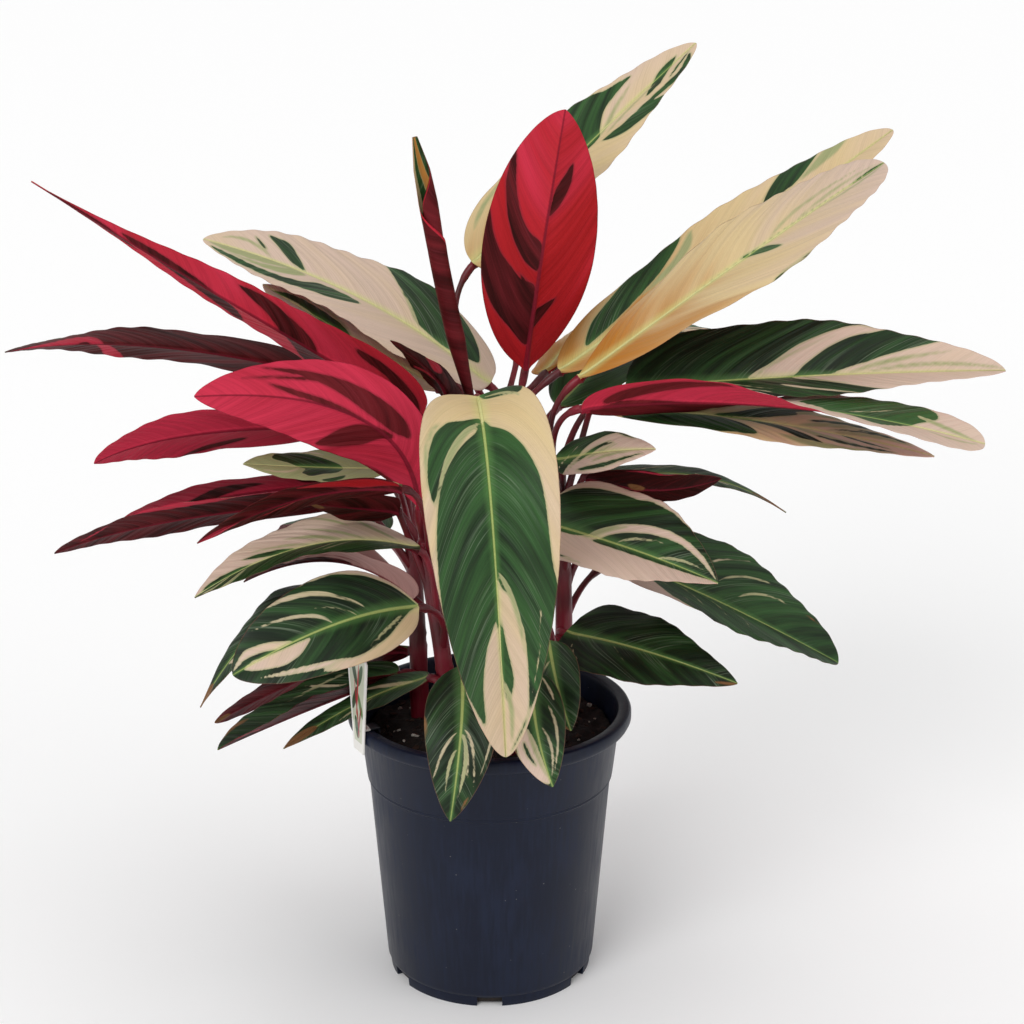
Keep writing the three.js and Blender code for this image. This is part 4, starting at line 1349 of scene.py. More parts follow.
    ),
    Leaf(
        "dark_tip", "side", 190, (-49, 24, 195), (-104, 33, 177), (-167, 10, 153), 44, (-0.3, 0.69, 0.66),
        Slot.MAROON, (G, G), fall=0.6, warm=(0.1, 0.1), light=0.2, streaks="""
        C .5 -.4 .6 -.62 .74 -.78 3 D .94 0 .97 0 1 0 3 C .1 -.2 .2 -.5 .3 -.8 2""",
    ),
    Leaf(
        "fold_purple", "side", 180, (-54, 4, 187), (-105, 2, 167), (-158, -45, 160), 50, (-0.34, 0.08, 0.94),
        Slot.GREEN, (G, G), left=(30, -5), right=(30, -5), warm=(0.3, 0.3), streaks="""
        S .18 .7 .42 .62 .7 .5 1 C .3 .3 .4 .5 .5 .9 1 D .78 .5 .9 .4 1 .1 1.6 D .7 -.7 .85 -.6 1 -.1 1.3 C
        .8 -.1 .88 -.3 .95 -.2 1.2""",
    ),
    Leaf(
        "dry_low", "left", 172, (-35, -28, 198), (-76, -15, 177), (-119, -50, 163), 26, (-0.39, -0.23, 0.89),
        Slot.GREEN, (G, G), warm=(0.5, 0.4), light=0.1, streaks="""
        C .1 .0 .3 .3 .5 .9 1.5 S .4 -.1 .55 -.4 .7 -.6 1 D .8 0 .9 0 1 0 4""",
    ),
    Leaf(
        "front_big", "centre", 305, (-5, -70, 378), (3, -135, 333), (10, -125, 192), 78, (0, -1, 0.3),
        Slot.GREEN, (C, C), left=(26, -8), right=(29, -4), rise=0.45, fall=0.64, warm=(0.85, 0.3), light=0.25,
        streaks="""
        G .0 -.05 .01 -.3 .04 -.5 .09 -.66 .11 -.58 .08 -.36 .04 -.12 S .02 -.1 .07 -.4 .13 -.6 1.2 D .0
        -.3 .01 -.5 .03 -.7 1.2 G .18 0 .205 -.12 .253 -.36 .32 -.57 .4 -.73 .48 -.79 .6 -.82 .7 -.9 .8
        -.72 .9 -.42 .985 -.1 .92 -.36 .84 -.4 .755 -.37 .69 -.22 .626 0 C .69 -.61 .78 -.58 .88 -.42 .7 S
        .635 -.02 .7 -.24 .8 -.36 1.5 G .74 -.03 .8 -.11 .85 -.18 .885 -.13 .89 -.05 .82 -.01 S .86 -.03
        .91 -.12 .97 -.1 1.4 G .15 .05 .185 .3 .21 .53 .266 .74 .334 .86 .4 .9 .456 .85 .43 .77 .36 .64
        .293 .5 .24 .3 .2 .1 .175 .03 S .17 .03 .3 .47 .47 .82 2.2 G .19 .01 .23 .14 .307 .42 .389 .66 .47
        .79 .565 .85 .674 .84 .769 .76 .85 .58 .93 .3 .864 .3 .796 .22 .742 .06 .728 0 C .5 .93 .6 .92 .72
        .86 .7 S .215 .62 .3 .86 .44 .93 1.2 S .22 .26 .34 .6 .46 .79 1""",
    ),
    Leaf(
        "drop_green", "front", 200, (-15, -60, 217), (-15, -100, 195), (-21, -110, 146), 42, (0, -1, 0.4),
        Slot.GREEN, (G, G), warm=(0.2, 0.1), light=-0.05, streaks="""
        C .48 -.06 .58 -.34 .84 -.5 .9 C .52 -.02 .62 -.22 .8 -.3 .7 C .5 .1 .62 .42 .82 .62 .9 S .5 -.04
        .66 -.2 .9 -.08 1.2 S .6 .06 .7 .22 .86 .24 .9 C .42 -.9 .56 -.8 .74 -.62 .8 D .4 1.05 .46 .96 .56
        .92 1.3 D .42 -1 .5 -.96 .62 -.86 .8 D .86 -.4 .9 -.3 .94 -.24 .7""",
    ),
    Leaf(
        "drop_small", "front", 168, (25, -68, 218), (27, -97, 197), (36, -110, 167), 34, (0, -1, 0.4),
        Slot.GREEN, (G, G), hook=0.1, warm=(0.2, 0.1), light=0.05, streaks="""
        C .44 .5 .56 .2 .7 .08 .96 .02 .92 .4 .74 .76 .56 .76 C .3 -.45 .6 -.62 .92 -.15 .9 C .5 -.16 .7
        -.34 .92 -.08 .8 C .05 -.3 .2 -.6 .3 -.7 .8 G .6 .5 .7 .45 .8 .3 .9 S .5 .3 .7 .2 .9 .08 1 D .62 .8
        .7 .85 .78 .72 .9""",
    ),
    Leaf(
        "dark_inner", "right", 178, (35, -42, 226), (39, -58, 208), (47, -72, 184), 30, (-0.3, -0.9, 0.4),
        Slot.GREEN, (G, G), warm=(0.3, 0.3), streaks="""
        D .1 .9 .4 1 .7 .95 1.6 D .7 .8 .85 .5 1 0 1.5 S .2 0 .35 .4 .5 .8 .6""",
    ),
    Leaf(
        "front_right", "front", 230, (29, -60, 305), (80, -85, 297), (124, -110, 287), 76,
        (0.19, -0.47, 0.86), Slot.GREEN, (G, C), left=(20, -8), right=(20, -10), rise=0.38, fall=0.85,
        warm=(0.1, 0), streaks="""
        C -.02 -.4 .08 -.66 .18 -.8 .3 -.87 .42 -.85 .45 -.95 .36 -1.1 .2 -1.15 0 -1.05 C .3 -.93 .45 -.86
        .6 -.76 .78 -.56 .9 -.3 .8 -.62 .6 -.86 .4 -1.02 .25 -1.05 G -.02 -.1 .03 .1 .12 .14 .2 .12 .25
        -.05 .15 -.2 C .215 .14 .25 .0 .286 -.12 .37 -.33 .487 -.45 .63 -.48 .745 -.43 .86 -.29 .98 -.04
        .917 -.12 .8 -.27 .69 -.35 .54 -.33 .43 -.24 .344 -.1 .29 .14 S .24 .1 .31 -.15 .42 -.34 1.6 G .29
        .14 .344 -.1 .43 -.24 .54 -.33 .69 -.35 .8 -.27 .917 -.12 .97 -.02 .88 .07 .745 .13 .57 .16 .4 .17
        S .4 -.02 .5 -.2 .68 -.28 .8 S .62 .02 .74 -.1 .9 -.1 .9 G .14 .74 .24 .84 .36 .93 1""",
    ),
    Leaf(
        "right_low_green", "right", 215, (46, -18, 222), (88, -42, 221), (142, -58, 207), 64,
        (0.2, -0.42, 0.88), Slot.GREEN, (G, G), rise=0.3, warm=(0.3, 0.2), light=-0.12, streaks="""
        D .9 .2 .96 .1 1 0 1.2 D .14 .66 .2 .8 .28 .95 1.1 C .1 .3 .16 .56 .26 .86 .7 S .3 0 .4 .3 .5 .6 .4""",
    ),
    Leaf(
        "right_green", "right", 235, (65, 5, 264), (132, 5, 235), (208, 0, 196), 88, (0.3, -0.46, 0.83),
        Slot.GREEN, (G, G), left=(12, -12), right=(38, -15), rise=0.42, fall=0.58, warm=(0.1, 0), light=0.15,
        streaks="""
        C -.02 -.3 .1 -.66 .25 -.84 .42 -1.06 .2 -1.06 0 -.8 C .2 .4 .3 .86 .42 1.05 .2 1.05 .1 .7 S .5 -.3
        .6 -.58 .75 -.7 .9 C .44 -.5 .52 -.74 .62 -.88 .8 S .58 -.16 .68 -.44 .82 -.5 .8 D .84 -.5 .87 -.48
        .9 -.46 .8 S .32 .05 .4 .4 .46 .8 .8 S .46 .05 .52 .4 .56 .75 .6 S .56 .05 .62 .4 .64 .7 .6 S .2 .1
        .3 .5 .38 .8 .7""",
    ),
    Leaf(
        "right_curl", "right", 270, (58, -10, 311), (119, 0, 313), (172, -10, 294), 34, (0.13, -0.04, 0.99),
        Slot.GREEN, (G, G), left=(12, -20), right=(12, -20), rise=0.4, fall=1.3, hook=0, warm=(0.1, 0),
        light=0.12, streaks="""
        C .12 .35 .3 .5 .52 .5 .62 .95 .3 1.05 .1 .9 S .1 -.2 .3 -.5 .5 -.7 .7 C .5 -.2 .6 .1 .7 .2 1 D .8
        0 .9 0 1 0 2""",
    ),
    Leaf(
        "right_purple", "right", 250, (56, -30, 322), (94, -35, 316), (132, -30, 321), 36, (0.02, 0.75, 0.66),
        Slot.MAROON, (G, G), hook=0.1, warm=(0, 0), light=-0.35, streaks="""
        C .25 .84 .5 .9 .76 .82 1 D .3 .14 .36 .09 .43 .06 1.9 C .3 -.25 .42 -.12 .52 .1 .6""",
    ),
    Leaf(
        "right_small", "centre", 285, (38, -46, 336), (62, -56, 344), (92, -66, 349), 34,
        (-0.09, -0.44, 0.89), Slot.GREEN, (C, C), warm=(0, 0), streaks="""
        G 0 -1 .2 -1.1 .5 -1.1 .64 -.86 .52 -.72 .4 -.5 .31 -.2 .24 .2 .17 .6 .1 1 0 1 G .26 .45 .38 -.02
        .58 -.46 1.5 G .34 .2 .46 -.2 .62 -.36 .9 G .3 .8 .56 .66 .9 .22 1.5 S .44 .5 .6 .2 .8 .1 1.2 S .4
        .3 .5 -.05 .66 -.3 .8 C .08 .5 .14 .05 .26 -.5 .7 G .6 -.9 .7 -.72 .8 -.56 .6 S .16 .9 .24 .5 .3 .2
        .8""",
    ),
    Leaf(
        "right_cream_front", "right", 315, (51, -35, 381), (131, -20, 437), (220, 0, 495), 78,
        (-0.45, -0.39, 0.8), Slot.VARIEGATED, (C, C), left=(8, -21), right=(17, -13), rise=0.78, fall=0.5,
        warm=(1.8, 0.1), light=0.3, streaks="""
        S .66 -.06 .78 -.24 .96 -.2 1.2 S .74 -.04 .86 -.12 .98 -.08 1 G .56 -.05 .6 -.03 .635 .12 .66 .38
        .62 .26 .585 .08 G .9 0 .96 -.01 1 0 1.3 S .3 0 .7 -.02 1 0 1 S .8 .04 .9 .1 .99 .06 1 G .57 1.02
        .62 .96 .7 .98 1 S .04 -.3 .1 -.6 .16 -.8 .9""",
    ),
    Leaf(
        "right_cream_back", "back", 320, (41, 10, 373), (132, 38, 433), (234, 60, 504), 56,
        (-0.48, -0.34, 0.81), Slot.VARIEGATED, (C, C), left=(26, -6), rise=0.5, fall=0.56, warm=(1.5, 0.5),
        light=0.2, streaks="""
        G .1 -.12 .15 -.5 .24 -.78 .34 -1.05 .47 -1.02 .43 -.76 .35 -.5 .22 -.24 S .3 -.36 .42 -.62 .5 -.95
        .47 -.6 .38 -.38 G .67 -.38 .71 -.65 .78 -.92 .89 -.92 .84 -.66 .76 -.38 S .77 -.36 .85 -.62 .91
        -.86 .94 -.66 .88 -.4 G .3 .1 .45 .5 .6 .9 3""",
    ),
    Leaf(
        "right_big", "right", 310, (78, -12, 368), (174, -25, 379), (286, -42, 387), 70, (-0.04, -0.39, 0.92),
        Slot.GREEN, (G, G), left=(33, -4), right=(26, -12), rise=0.4, fall=0.66, warm=(0, 0), light=-0.02,
        streaks="""
        C .36 -.02 .43 -.27 .5 -.54 .575 -.72 .64 -.82 .74 -.78 .64 -.64 .575 -.46 .515 -.2 .48 -.02 S .37
        0 .47 -.36 .6 -.68 .8 C .6 0 .68 -.22 .78 -.42 .87 -.56 1.04 -.6 1.04 0 S .63 -.03 .74 -.22 .88
        -.36 1.3 S .68 -.04 .84 -.14 1 -.04 1.2 C .5 0 .55 .3 .62 .5 .75 .82 1.04 .82 1.04 0 G .55 .6 .64
        .72 .76 .8 1 C .26 .03 .32 .45 .45 .84 1.6 C .45 .42 .55 .68 .7 .88 1.3 S .29 .04 .36 .42 .48 .78
        .8 S .51 -.0 .56 .28 .64 .48 1""",
    ),
    Leaf(
        "right_red_fold", "right", 300, (52, -55, 369), (156, -70, 375), (269, -80, 356), 56, (0, 0, 1),
        Slot.RED, (C, C), left=(-8, 0), right=(28, -6), rise=0.5, fall=0.45, twist=80, hook=0.3,
        warm=(0.3, 0), light=0.5, streaks="""
        G .0 -.3 .2 -.9 .5 -.95 .48 -.3 .3 0 .1 .1 G .56 -.5 .63 -.76 .75 -.92 .87 -.7 .89 -.4 .84 -.1 .79
        .3 .74 .62 .69 .4 .65 .1 .61 -.2 S .84 -.4 .9 -.2 .98 0 1.6 C .66 -.1 .74 -.3 .82 -.6 .6 S .86 .1
        .92 .2 .98 .1 .8 G .06 .1 .2 .5 .4 .9 4""",
    ),
    Leaf(
        "right_shaded", "right", 290, (57, -35, 363), (150, -42, 358), (246, -60, 343), 44,
        (0.11, -0.2, 0.97), Slot.GREEN, (C, C), rise=0.8, hook=0, warm=(1.3, 0.2), streaks="""
        G .08 -.1 .2 .1 .36 .0 .45 .3 .5 .8 .3 .95 .12 .6 G .1 -.6 .22 -.3 .3 -.55 .5 -.95 .3 -1.05 G .37
        -.05 .44 -.3 .5 -.6 .58 -.9 .66 -.95 .6 -.5 .5 -.15 G .38 -.03 .48 .1 .58 .42 .66 .8 .72 .9 .66 .5
        .58 .15 .48 -.04 S .62 -.1 .74 -.4 .86 -.5 2.4 S .6 .05 .7 .35 .8 .5 2.4 S .72 -.05 .84 -.25 .94
        -.2 2 G .74 .0 .8 .2 .88 .3 1.2 G .78 -.4 .86 -.4 .92 -.25 1.2 S .6 -.62 .74 -.84 .9 -.6 3 S .56 .6
        .74 .84 .9 .5 3 G .64 -.34 .76 -.6 .88 -.62 1.7 G .66 .34 .78 .52 .9 .4 1.5 G .7 -.1 .82 -.34 .94
        -.3 1""",
    ),
    Leaf(
        "back_high", "back", 330, (18, 75, 372), (30, 150, 418), (40, 230, 428), 64, (0, -0.45, 0.9),
        Slot.GREEN, (G, G), warm=(0.4, 0.3), light=0.2,
    ),
    Leaf(
        "back_left", "back", 318, (-20, 70, 350), (-68, 140, 388), (-120, 200, 392), 60, (0.2, -0.4, 0.9),
        Slot.VARIEGATED, (G, G), warm=(0.4, 0.3), light=0.2,
    ),
    Leaf(
        "back_right", "back", 300, (42, 72, 335), (98, 130, 365), (150, 190, 350), 64, (-0.2, -0.3, 0.95),
        Slot.GREEN, (G, G), warm=(0.4, 0.3), light=0.2,
    ),
    Leaf(
        "back_side", "side", 285, (-72, 40, 320), (-115, 85, 348), (-158, 125, 332), 58, (0.1, -0.2, 1),
        Slot.RED, (G, G), warm=(0.4, 0.3), light=0.2,
    ),
    Leaf(
        "back_mid", "back", 270, (4, 80, 305), (-8, 150, 312), (-28, 215, 276), 68, (0, 0.1, 1), Slot.GREEN,
        (G, G), warm=(0.4, 0.3), light=0.2,
    ),
    Leaf(
        "back_low_left", "side", 245, (-66, 45, 262), (-105, 90, 258), (-140, 128, 215), 56, (-0.2, 0.2, 1),
        Slot.VARIEGATED, (G, G), warm=(0.4, 0.3), light=0.2,
    ),
    Leaf(
        "back_low_right", "back", 240, (38, 68, 262), (80, 115, 258), (120, 158, 215), 58, (0.2, 0.2, 1),
        Slot.GREEN, (G, G), warm=(0.4, 0.3), light=0.2,
    ),
    Leaf(
        "back_low", "back", 215, (0, 74, 235), (-12, 120, 228), (-28, 155, 185), 52, (0, 0.3, 1), Slot.GREEN,
        (G, G), warm=(0.4, 0.3), light=0.2,
    ),
    Leaf(
        "right_behind", "right", 220, (70, 32, 246), (118, 75, 240), (162, 115, 210), 52, (0.2, 0.1, 1),
        Slot.GREEN, (G, G), warm=(0.4, 0.3), light=0.2,
    ),
)


@dataclass
class FurledLeaf:
    """The newest leaf, rolled into a scroll whose outer turn shows the underside, and loosening at its tip."""

    shoot: str = "centre"
    start: float = 318
    path: tuple[Place, ...] = (
        (-10, -20, 364), (-18, -23, 400), (-26, -26, 440), (-32, -28, 478), (-39, -30, 514),
    )
    radii: tuple[float, ...] = (2.4, 3.8, 5.4, 5.4, 5.4, 5.6, 5.6, 4.6, 1.4)
    petiole_radius: float = 1.8
    rows: int = 96
    half_points: int = 34
    sheet: float = 0.45
    length: float = 152
    width: float = 30
    hook: float = 0.45
    petiole_end: float = 0.94
    petiole_rings: int = 16
    # Where round the sheet its green stripe lies, and from where on it is green again.
    stripe: float = 0.24
    green_from: float = 0.56
    lip: float = 0.05
    dry_from: float = 0.97
    seed: float = 3.0
    stops: tuple[float, ...] = (0, 0.58, 0.73, 0.86, 1)
    outer_turn: tuple[float, ...] = (-1.4, -0.5, 2.9, 3.1, 3.0)
    inner_turn: tuple[float, ...] = (9.8, 9.8, 9.2, 6.7, 6.0)
    shrink: tuple[float, ...] = (0.34, 0.34, 0.3, 0.1, 0.05)

    def scroll(self, radius: float, share: float) -> tuple[np.ndarray, np.ndarray, np.ndarray]:
        """One section of the rolled sheet, whose outer edge sweeps round so that the roll opens to the front.

        Args:
            radius: the roll's radius here, in millimetres.
            share: how far along the roll the section is.

        Returns:
            The offsets across and up of its two faces in millimetres, and the share of the way round.
        """
        t = np.linspace(0, 1, self.half_points + 1)
        t = np.concatenate([t, t[-2::-1]])
        outward = np.where(np.arange(len(t)) <= self.half_points, 1.0, -1.0)
        ways = (self.outer_turn, self.inner_turn, self.shrink)
        first, last, shrink = (np.interp(share, self.stops, way) for way in ways)
        angle = first + (last - first) * t
        reach = radius * (1 - shrink * t) + outward * self.sheet / 2 * np.sqrt(1 - (2 * t - 1) ** 8)
        return reach * np.cos(angle), reach * np.sin(angle), t

    def build(self, shoots: dict[str, Shoot], materials: Materials) -> bpy.types.Object:
        """Build the petiole and the scroll as one skin and dress it.

        Args:
            shoots: the stems by name.
            materials: the upper side's, the underside's and the petiole's.

        Returns:
            The piece.
        """
        skin = Skin("leaf_furled")
        root = shoots[self.shoot].at(self.start)
        first = catmull(self.path, 0)
        lead = (catmull(self.path, AHEAD) - first).normalized()
        control = first - self.hook * (first - root).length * lead
        count = 2 * self.half_points + 1
        circle = np.linspace(0, TURN, count) + self.outer_turn[0]
        outside = np.where(np.arange(count) < self.half_points, 1, 0)
        for share in np.linspace(0, self.petiole_end, self.petiole_rings):
            plane = Ring.square_to(*bezier(root, control, first, float(share)))
            points = plane.spread(self.petiole_radius * np.cos(circle), self.petiole_radius * np.sin(circle))
            uv = np.column_stack([circle, np.full(count, share)])
            skin.add(
                points, uv, np.full(count, 2), green=REACH, sage=-REACH, dry=-REACH, warm=0.0, light=0.0,
                along=0.0, edge=OFF_EDGE, seed=self.seed,
            )
        for row in range(self.rows + 1):
            share = row / self.rows
            at = share * (len(self.radii) - 1)
            radius = float(np.interp(at, range(len(self.radii)), self.radii))
            across, up, t = self.scroll(radius, share)
            off_rib = self.width * t
            vein = share * self.length - Leaf.VEIN_SLANT * off_rib
            inner = np.arange(count) >= self.half_points
            leafy = np.maximum(2.2 - 30 * np.abs(t - self.stripe), 40 * (t - self.green_from))
            leafy = np.minimum(leafy, 3)
            lip = (np.minimum(t, 1 - t) < self.lip) & (share > 0.5)
            points = Ring.on_path(self.path, share).spread(across, up)
            skin.add(
                points, np.column_stack([off_rib + 4, vein]), outside,
                green=np.where(inner, leafy, np.where(lip, -2.0, 4.0)), sage=-REACH,
                dry=(1 + REACH) * max(0.0, share - self.dry_from) / (1 - self.dry_from) - REACH,
                warm=np.where(inner & (t > 0.3), 1.45, 0.7), light=0.2,
                along=0.9, edge=OFF_EDGE, seed=self.seed,
            )
        mesh = skin.build(materials)
        return publish("blade_furled", mesh, Slot.MAROON, ("leaf_furled",))


# ---- Pot, peat and label ----


@dataclass
class Pot:
    """A round nursery pot: rolled rim, collar with a fine ledge, tapered body, drain notches in its foot."""

    height: float = 170
    rim: float = 85
    rim_depth: float = 8
    under_rim: float = 78
    ledge: float = 127
    collar: float = 74
    body_top: float = 73
    corner_height: float = 9
    corner: float = 63.5
    foot: float = 61.5
    wall: float = 1.6
    notches: int = 6
    notch_width: float = 15
    notch_height: float = 6
    notch_reach: float = 9
    notch_excess: float = 6
    groove: float = 0.35
    edge: float = 0.35
    edge_angle: float = 28
    steps: int = 192

    def inside(self, z: float) -> float:
        """The inner radius at a height, in millimetres."""
        heights = (self.wall, self.corner_height + 1, self.ledge, self.height)
        return float(np.interp(z, heights, (self.foot, self.corner, self.collar, self.under_rim))) - self.wall

    def profile(self) -> list[tuple[float, float]]:
        """Radius and height along the wall, from the middle of the underside round to the inside floor.

        Returns:
            The corners of the wall's outline.
        """
        top, lip = self.height, self.height - self.rim_depth
        groove = self.groove
        return [
            (0, 0), (self.foot - 8, 0), (self.foot, 0), (self.foot + 0.6, 5.5),
            (self.foot + 0.9 - groove, 6.3), (self.foot + 1.2, 7), (self.corner, self.corner_height),
            (self.body_top - 0.3, self.ledge - 3), (self.body_top, self.ledge - 1), (self.collar, self.ledge),
            (self.collar - groove, self.ledge + 1.2), (self.collar + 0.3, self.ledge + 2),
            (self.under_rim, lip - 1), (self.rim - 1, lip), (self.rim, lip + 2), (self.rim, top - 2.5),
            (self.rim - 0.8, top - 0.7), (self.rim - 2, top), (self.under_rim + 1, top),
            (self.under_rim - 0.6, top - 0.8), (self.under_rim - self.wall, top - 3),
            (self.collar - self.wall, self.ledge), (self.corner - self.wall, self.corner_height + 1),
            (self.foot - self.wall, self.wall), (0, self.wall),
        ]

    def build(self) -> bpy.types.Object:
        """Spin the wall, cut the drain notches, soften the edges and dress the pot.

        Returns:
            The piece.
        """
        pot = bpy.data.objects.new("pot_shell", to_mesh(lathe(self.profile(), self.steps), "pot_shell"))
        bm = bmesh.new()
        for i in range(self.notches):
            turn = Matrix.Rotation(TURN * i / self.notches - math.pi / 2, 4, "Z")
            deep = self.notch_reach + self.notch_excess
            size = Matrix.Diagonal((deep, self.notch_width, 2 * self.notch_height, 1))
            shift = Matrix.Translation((self.foot + self.notch_excess - deep / 2, 0, 0))
            bmesh.ops.create_cube(bm, size=1, matrix=turn @ shift @ size)
        cutter = bpy.data.objects.new("notch_cutter", to_mesh(bm, "notch_cutter", smooth=False))
        for item in (pot, cutter):
            bpy.context.scene.collection.objects.link(item)
        cut = pot.modifiers.new("notches", "BOOLEAN")
        cut.object, cut.operation, cut.solver = cutter, "DIFFERENCE", "EXACT"
        soft = pot.modifiers.new("edges", "BEVEL")
        soft.width, soft.segments = self.edge * MM, 2
        soft.limit_method, soft.angle_limit = "ANGLE", math.radians(self.edge_angle)
        bpy.context.view_layer.update()
        mesh = bpy.data.meshes.new_from_object(pot.evaluated_get(bpy.context.evaluated_depsgraph_get()))
        for item in (pot, cutter):
            bpy.data.objects.remove(item)
        mesh.name = "pot_shell"
        mesh.materials.clear()
        mesh.materials.append(POLYPROPYLENE.build())
        return publish("pot_shell", mesh, Slot.POT, ("pot",))


@dataclass
class Peat:
    """The plug of peat: a lumpy crown with bark and perlite lying in it."""

    pot: Pot
    top: float = 153
    mound: float = 5
    lump: float = 1.6
    drop: float = 2
    gap: float = 0.7
    floor_gap: float = 0.3
    bare_edge: float = 6
    rings: int = 56
    steps: int = 150
    perlite: int = 70
    perlite_sizes: tuple[float, float] = (0.7, 1.7)
    perlite_flat: float = 0.8
    bark: int = 240
    bark_sizes: tuple[float, float] = (1.2, 3.4)
    bark_flat: float = 0.35
    roughness: float = 0.22

    def level(self, x: float, y: float) -> float:
        """The height of the crown at a place.

        Args:
            x: millimetres to the right of the middle.
            y: millimetres behind it.

        Returns:
            The height in millimetres.
        """
        radius, angle = math.hypot(x, y), math.atan2(y, x)
        wide = self.pot.inside(self.top)
        swell = self.mound * (1 - (radius / wide) ** 2)
        lumps = self.lump * math.sin(5 * angle + radius * 0.16) * math.cos(3 * angle - radius * 0.11)
        crumbs = 2.2 * noise.noise(Vector((x, y, 0)) / 7) + 1.3 * noise.noise(Vector((x, y, 40)) / 2.6)
        return self.top + swell + lumps * min(1.0, radius / 20) + crumbs

    def build(self) -> list[bpy.types.Object]:
        """Spin the plug, roughen its crown, scatter the chips and dress them all.

        Returns:
            The pieces.
        """
        edge = self.pot.inside(self.top - self.drop) - self.gap
        floor = self.pot.wall + self.floor_gap
        outline = [(0, floor), (self.pot.inside(floor) - self.gap, floor)]
        heights = (self.pot.corner_height + 1, self.pot.ledge)
        outline += [(self.pot.inside(z) - self.gap, z) for z in heights]
        outline += [(edge * (1 - i / self.rings), self.top) for i in range(self.rings + 1)]
        bm = lathe(outline, self.steps)
        for vert in bm.verts:
            if vert.co.z > self.pot.ledge + 1:
                sunk = self.drop if vert.co.xy.length > edge - 0.5 else 0
                vert.co.z = self.level(vert.co.x, vert.co.y) - sunk
        mesh = to_mesh(bm, "peat_plug")
        mesh.materials.append(PEAT.build())
        plug = publish("peat_plug", mesh, Slot.PEAT, ("soil",))
        chips = [
            self.scatter("perlite_grains", self.perlite, self.perlite_sizes, self.perlite_flat, PERLITE, 11),
            self.scatter("bark_chips", self.bark, self.bark_sizes, self.bark_flat, BARK, 23),
        ]
        return [plug, *chips]

    def scatter(
        self, name: str, count: int, sizes: tuple[float, float], flat: float, finish: Crumb, seed: int
    ) -> bpy.types.Object:
        """Scatter lumps over the crown.

        Args:
            name: the piece's name.
            count: how many lumps there are.
            sizes: the least and the greatest radius in millimetres.
            flat: how thick a lump is, as a share of its radius.
            finish: what the lumps are made of.
            seed: the seed of the draws.

        Returns:
            The piece.
        """
        draw = random.Random(seed)
        bm = bmesh.new()
        for _ in range(count):
            radius = (self.pot.inside(self.top) - self.bare_edge) * math.sqrt(draw.random())
            angle = draw.uniform(0, TURN)
            x, y = radius * math.cos(angle), radius * math.sin(angle)
            size = draw.uniform(*sizes)
            place = Matrix.Translation((x, y, self.level(x, y) + 0.2 * size))
            turn = Matrix.Rotation(draw.uniform(0, 6), 4, "Z")
            lean = Matrix.Rotation(draw.uniform(-0.6, 0.6), 4, "X")
            shape = Matrix.Diagonal((size, size * draw.uniform(0.5, 1), size * flat, 1))
            lump = bmesh.ops.create_icosphere(bm, subdivisions=1, radius=1, matrix=place @ turn @ lean @ shape)
            for vert in lump["verts"]:
                vert.co += self.roughness * size * Vector([draw.uniform(-1, 1) for _ in range(3)])
        mesh = to_mesh(bm, name, smooth=False)
        mesh.materials.append(finish.build())
        return publish(name, mesh, Slot.PEAT)


@dataclass
class Label:
    """A plant label that straddles the rim: a plate outside, a bridge over the rim and a leg inside."""

    azimuth: float = -62
    top: float = 222
    bottom: float = 157
    top_width: float = 28
    bottom_width: float = 13
    shoulder: float = 6
    trim: float = 0.2
    thickness: float = 1.0
    plate_radius: float = 85.5
    bridge_height: float = 170.5
    leg_radius: float = 74
    leg_width: float = 8.6
    leg_bottom: float = 158.5
    edge: float = 0.18
    # Where faces off the plate lie on the print's map, beyond the plate's reach.
    off_print: float = 99

    def build(self) -> bpy.types.Object:
        """Cut the plate, add the bridge and the leg, round the edges and dress the label.

        Returns:
            The piece.
        """
        bm = bmesh.new()
        half, foot, s = self.top_width / 2 - self.trim, self.bottom_width / 2, self.shoulder
        right = [(foot, self.bottom), (half, self.top - s), (half - s, self.top)]
        corners = [(-foot, self.bottom), *right, (s - half, self.top), (-half, self.top - s)]
        front = -self.plate_radius - self.thickness
        face = bm.faces.new([bm.verts.new((x, front, z)) for x, z in corners])
        grown = bmesh.ops.extrude_face_region(bm, geom=[face])["geom"]
        moved = [item for item in grown if isinstance(item, bmesh.types.BMVert)]
        bmesh.ops.translate(bm, vec=(0, self.thickness, 0), verts=moved)
        span = self.plate_radius + self.thickness - self.leg_radius
        drop = self.bridge_height + self.thickness - self.leg_bottom
        bars = (
            (self.leg_radius + span / 2, self.bridge_height + self.thickness / 2, span, self.thickness),
            (self.leg_radius + self.thickness / 2, self.leg_bottom + drop / 2, self.thickness, drop),
        )
        for out, height, deep, tall in bars:
            place = Matrix.Translation((0, -out, height)) @ Matrix.Diagonal((self.leg_width, deep, tall, 1))
            bmesh.ops.create_cube(bm, size=1, matrix=place)
        bmesh.ops.bevel(
            bm, geom=bm.edges[:], offset=self.edge, affect="EDGES", segments=2, profile=0.5, material=-1
        )
        layer = bm.loops.layers.uv.new("plate")
        for face in bm.faces:
            for loop in face.loops:
                on_plate = loop.vert.co.y < -self.plate_radius + 0.1
                loop[layer].uv = (loop.vert.co.x, loop.vert.co.z) if on_plate else (self.off_print, 0)
        turn = Matrix.Rotation(math.radians(self.azimuth), 3, "Z")
        bmesh.ops.rotate(bm, cent=(0, 0, 0), matrix=turn, verts=bm.verts)
        mesh = to_mesh(bm, "plant_label", smooth=False)
        mesh.materials.append(PRINT.build())
        return publish("plant_label", mesh, Slot.LABEL, ("label",))


# ---- Studio ----


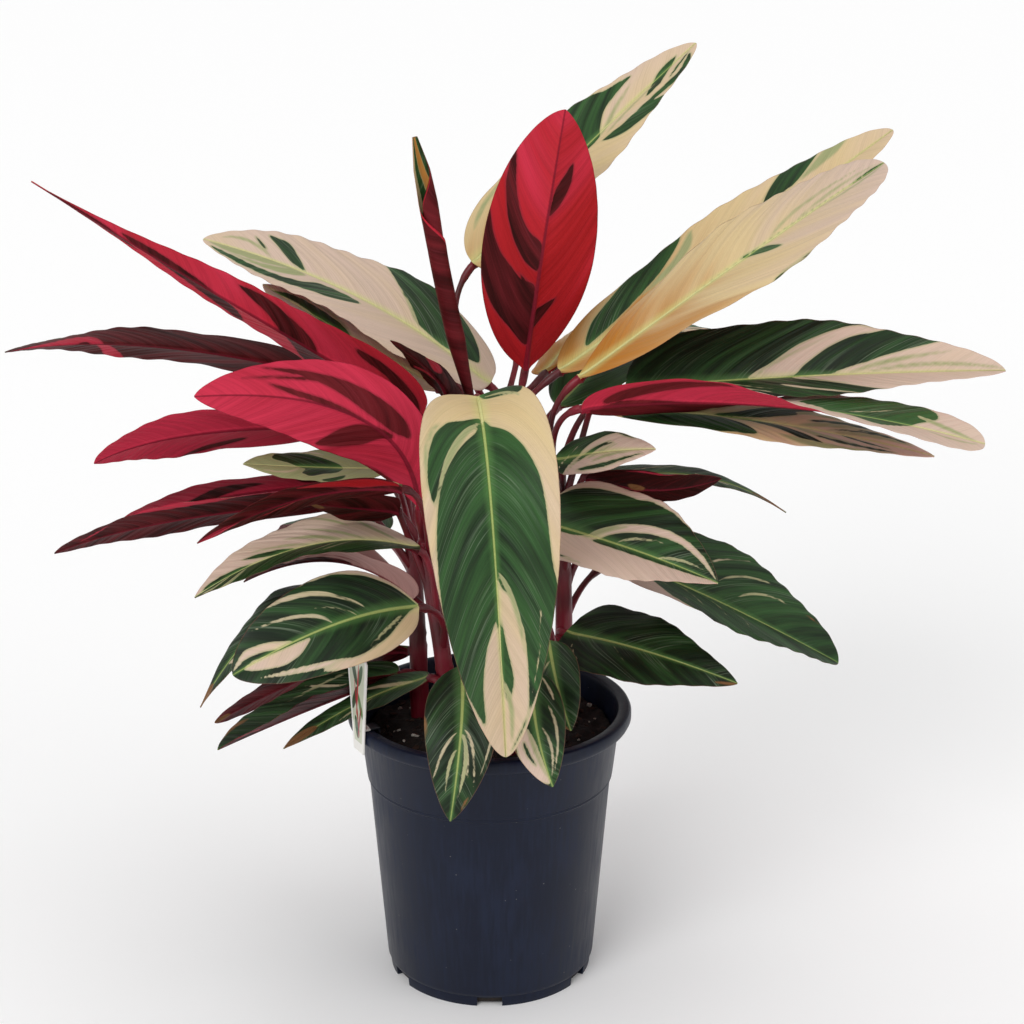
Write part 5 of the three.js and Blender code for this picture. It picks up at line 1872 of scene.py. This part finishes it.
@dataclass
class Studio:
    """A pale floor, soft lights and the camera."""

    eye: Place = (13.4, -1245.0, 703.0)
    aim: Place = (13.4, 0.0, 291.0)
    lens: float = 79.03
    floor_half: float = 20000.0
    sky: float = 0.56

    def build_floor(self) -> None:
        """Lay the floor."""
        bm = bmesh.new()
        bmesh.ops.create_grid(bm, x_segments=1, y_segments=1, size=self.floor_half)
        mesh = to_mesh(bm, "floor", smooth=False)
        mesh.materials.append(FLOOR.build())
        floor = bpy.data.objects.new("floor", mesh)
        bpy.context.scene.collection.objects.link(floor)
        floor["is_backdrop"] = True

    def build_lights(self) -> None:
        """Hang the wide soft lights and light the room evenly."""
        scene = bpy.context.scene
        scene.view_settings.view_transform = "Standard"
        scene.world = scene.world or bpy.data.worlds.new("room")
        scene.world.use_nodes = True
        background = scene.world.node_tree.nodes["Background"]
        background.inputs["Color"].default_value = (1, 1, 1, 1)
        background.inputs["Strength"].default_value = self.sky
        # A name, the side that it comes from, its spread in degrees and its strength.
        lights = (
            ("key", (-0.9, -1.6, 1.1), 36.0, 1.35),
            ("fill", (1.6, -1.0, 0.8), 50.0, 0.45),
            ("top", (0.2, 0.1, 2.0), 60.0, 0.6),
        )
        for name, place, spread, power in lights:
            light = bpy.data.lights.new(name, "SUN")
            light.angle, light.energy = math.radians(spread), power
            lamp = bpy.data.objects.new(name, light)
            lamp.location = place
            lamp.rotation_euler = Vector(place).to_track_quat("Z", "Y").to_euler()
            scene.collection.objects.link(lamp)

    def build_camera(self) -> None:
        """Set up the camera."""
        camera = bpy.data.cameras.new("camera")
        camera.lens, camera.sensor_width, camera.clip_end = self.lens, 36.0, 100.0
        eye = bpy.data.objects.new("camera", camera)
        eye.location = Vector(self.eye) * MM
        eye.rotation_euler = (Vector(self.aim) - Vector(self.eye)).to_track_quat("-Z", "Y").to_euler()
        bpy.context.scene.collection.objects.link(eye)
        bpy.context.scene.camera = eye

    def build(self) -> None:
        """Build the whole studio."""
        self.build_floor()
        self.build_lights()
        self.build_camera()


def write_sizes() -> None:
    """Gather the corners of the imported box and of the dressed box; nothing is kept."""
    boxes = {"cad": CAD_BOX, "visual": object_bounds()}
    {name: [list(corner) for corner in box] for name, box in boxes.items()}


def main() -> None:
    """Build every piece of the plant and its pot, in order."""
    logging.basicConfig(level=logging.INFO, format="%(message)s")
    Studio().build()
    upper, underside, stem = UPPER.build(), UNDERSIDE.build(), STEM.build()
    pot = Pot()
    pot.build()
    Peat(pot).build()
    Label().build()
    shoots = {shoot.name: shoot for shoot in SHOOTS}
    for shoot in SHOOTS:
        shoot.build((stem,))
    for leaf in LEAVES:
        leaf.build(shoots, (upper, underside, stem))
    FurledLeaf().build(shoots, (upper, underside, stem))


if __name__ == "__main__":
    main()
    write_sizes()
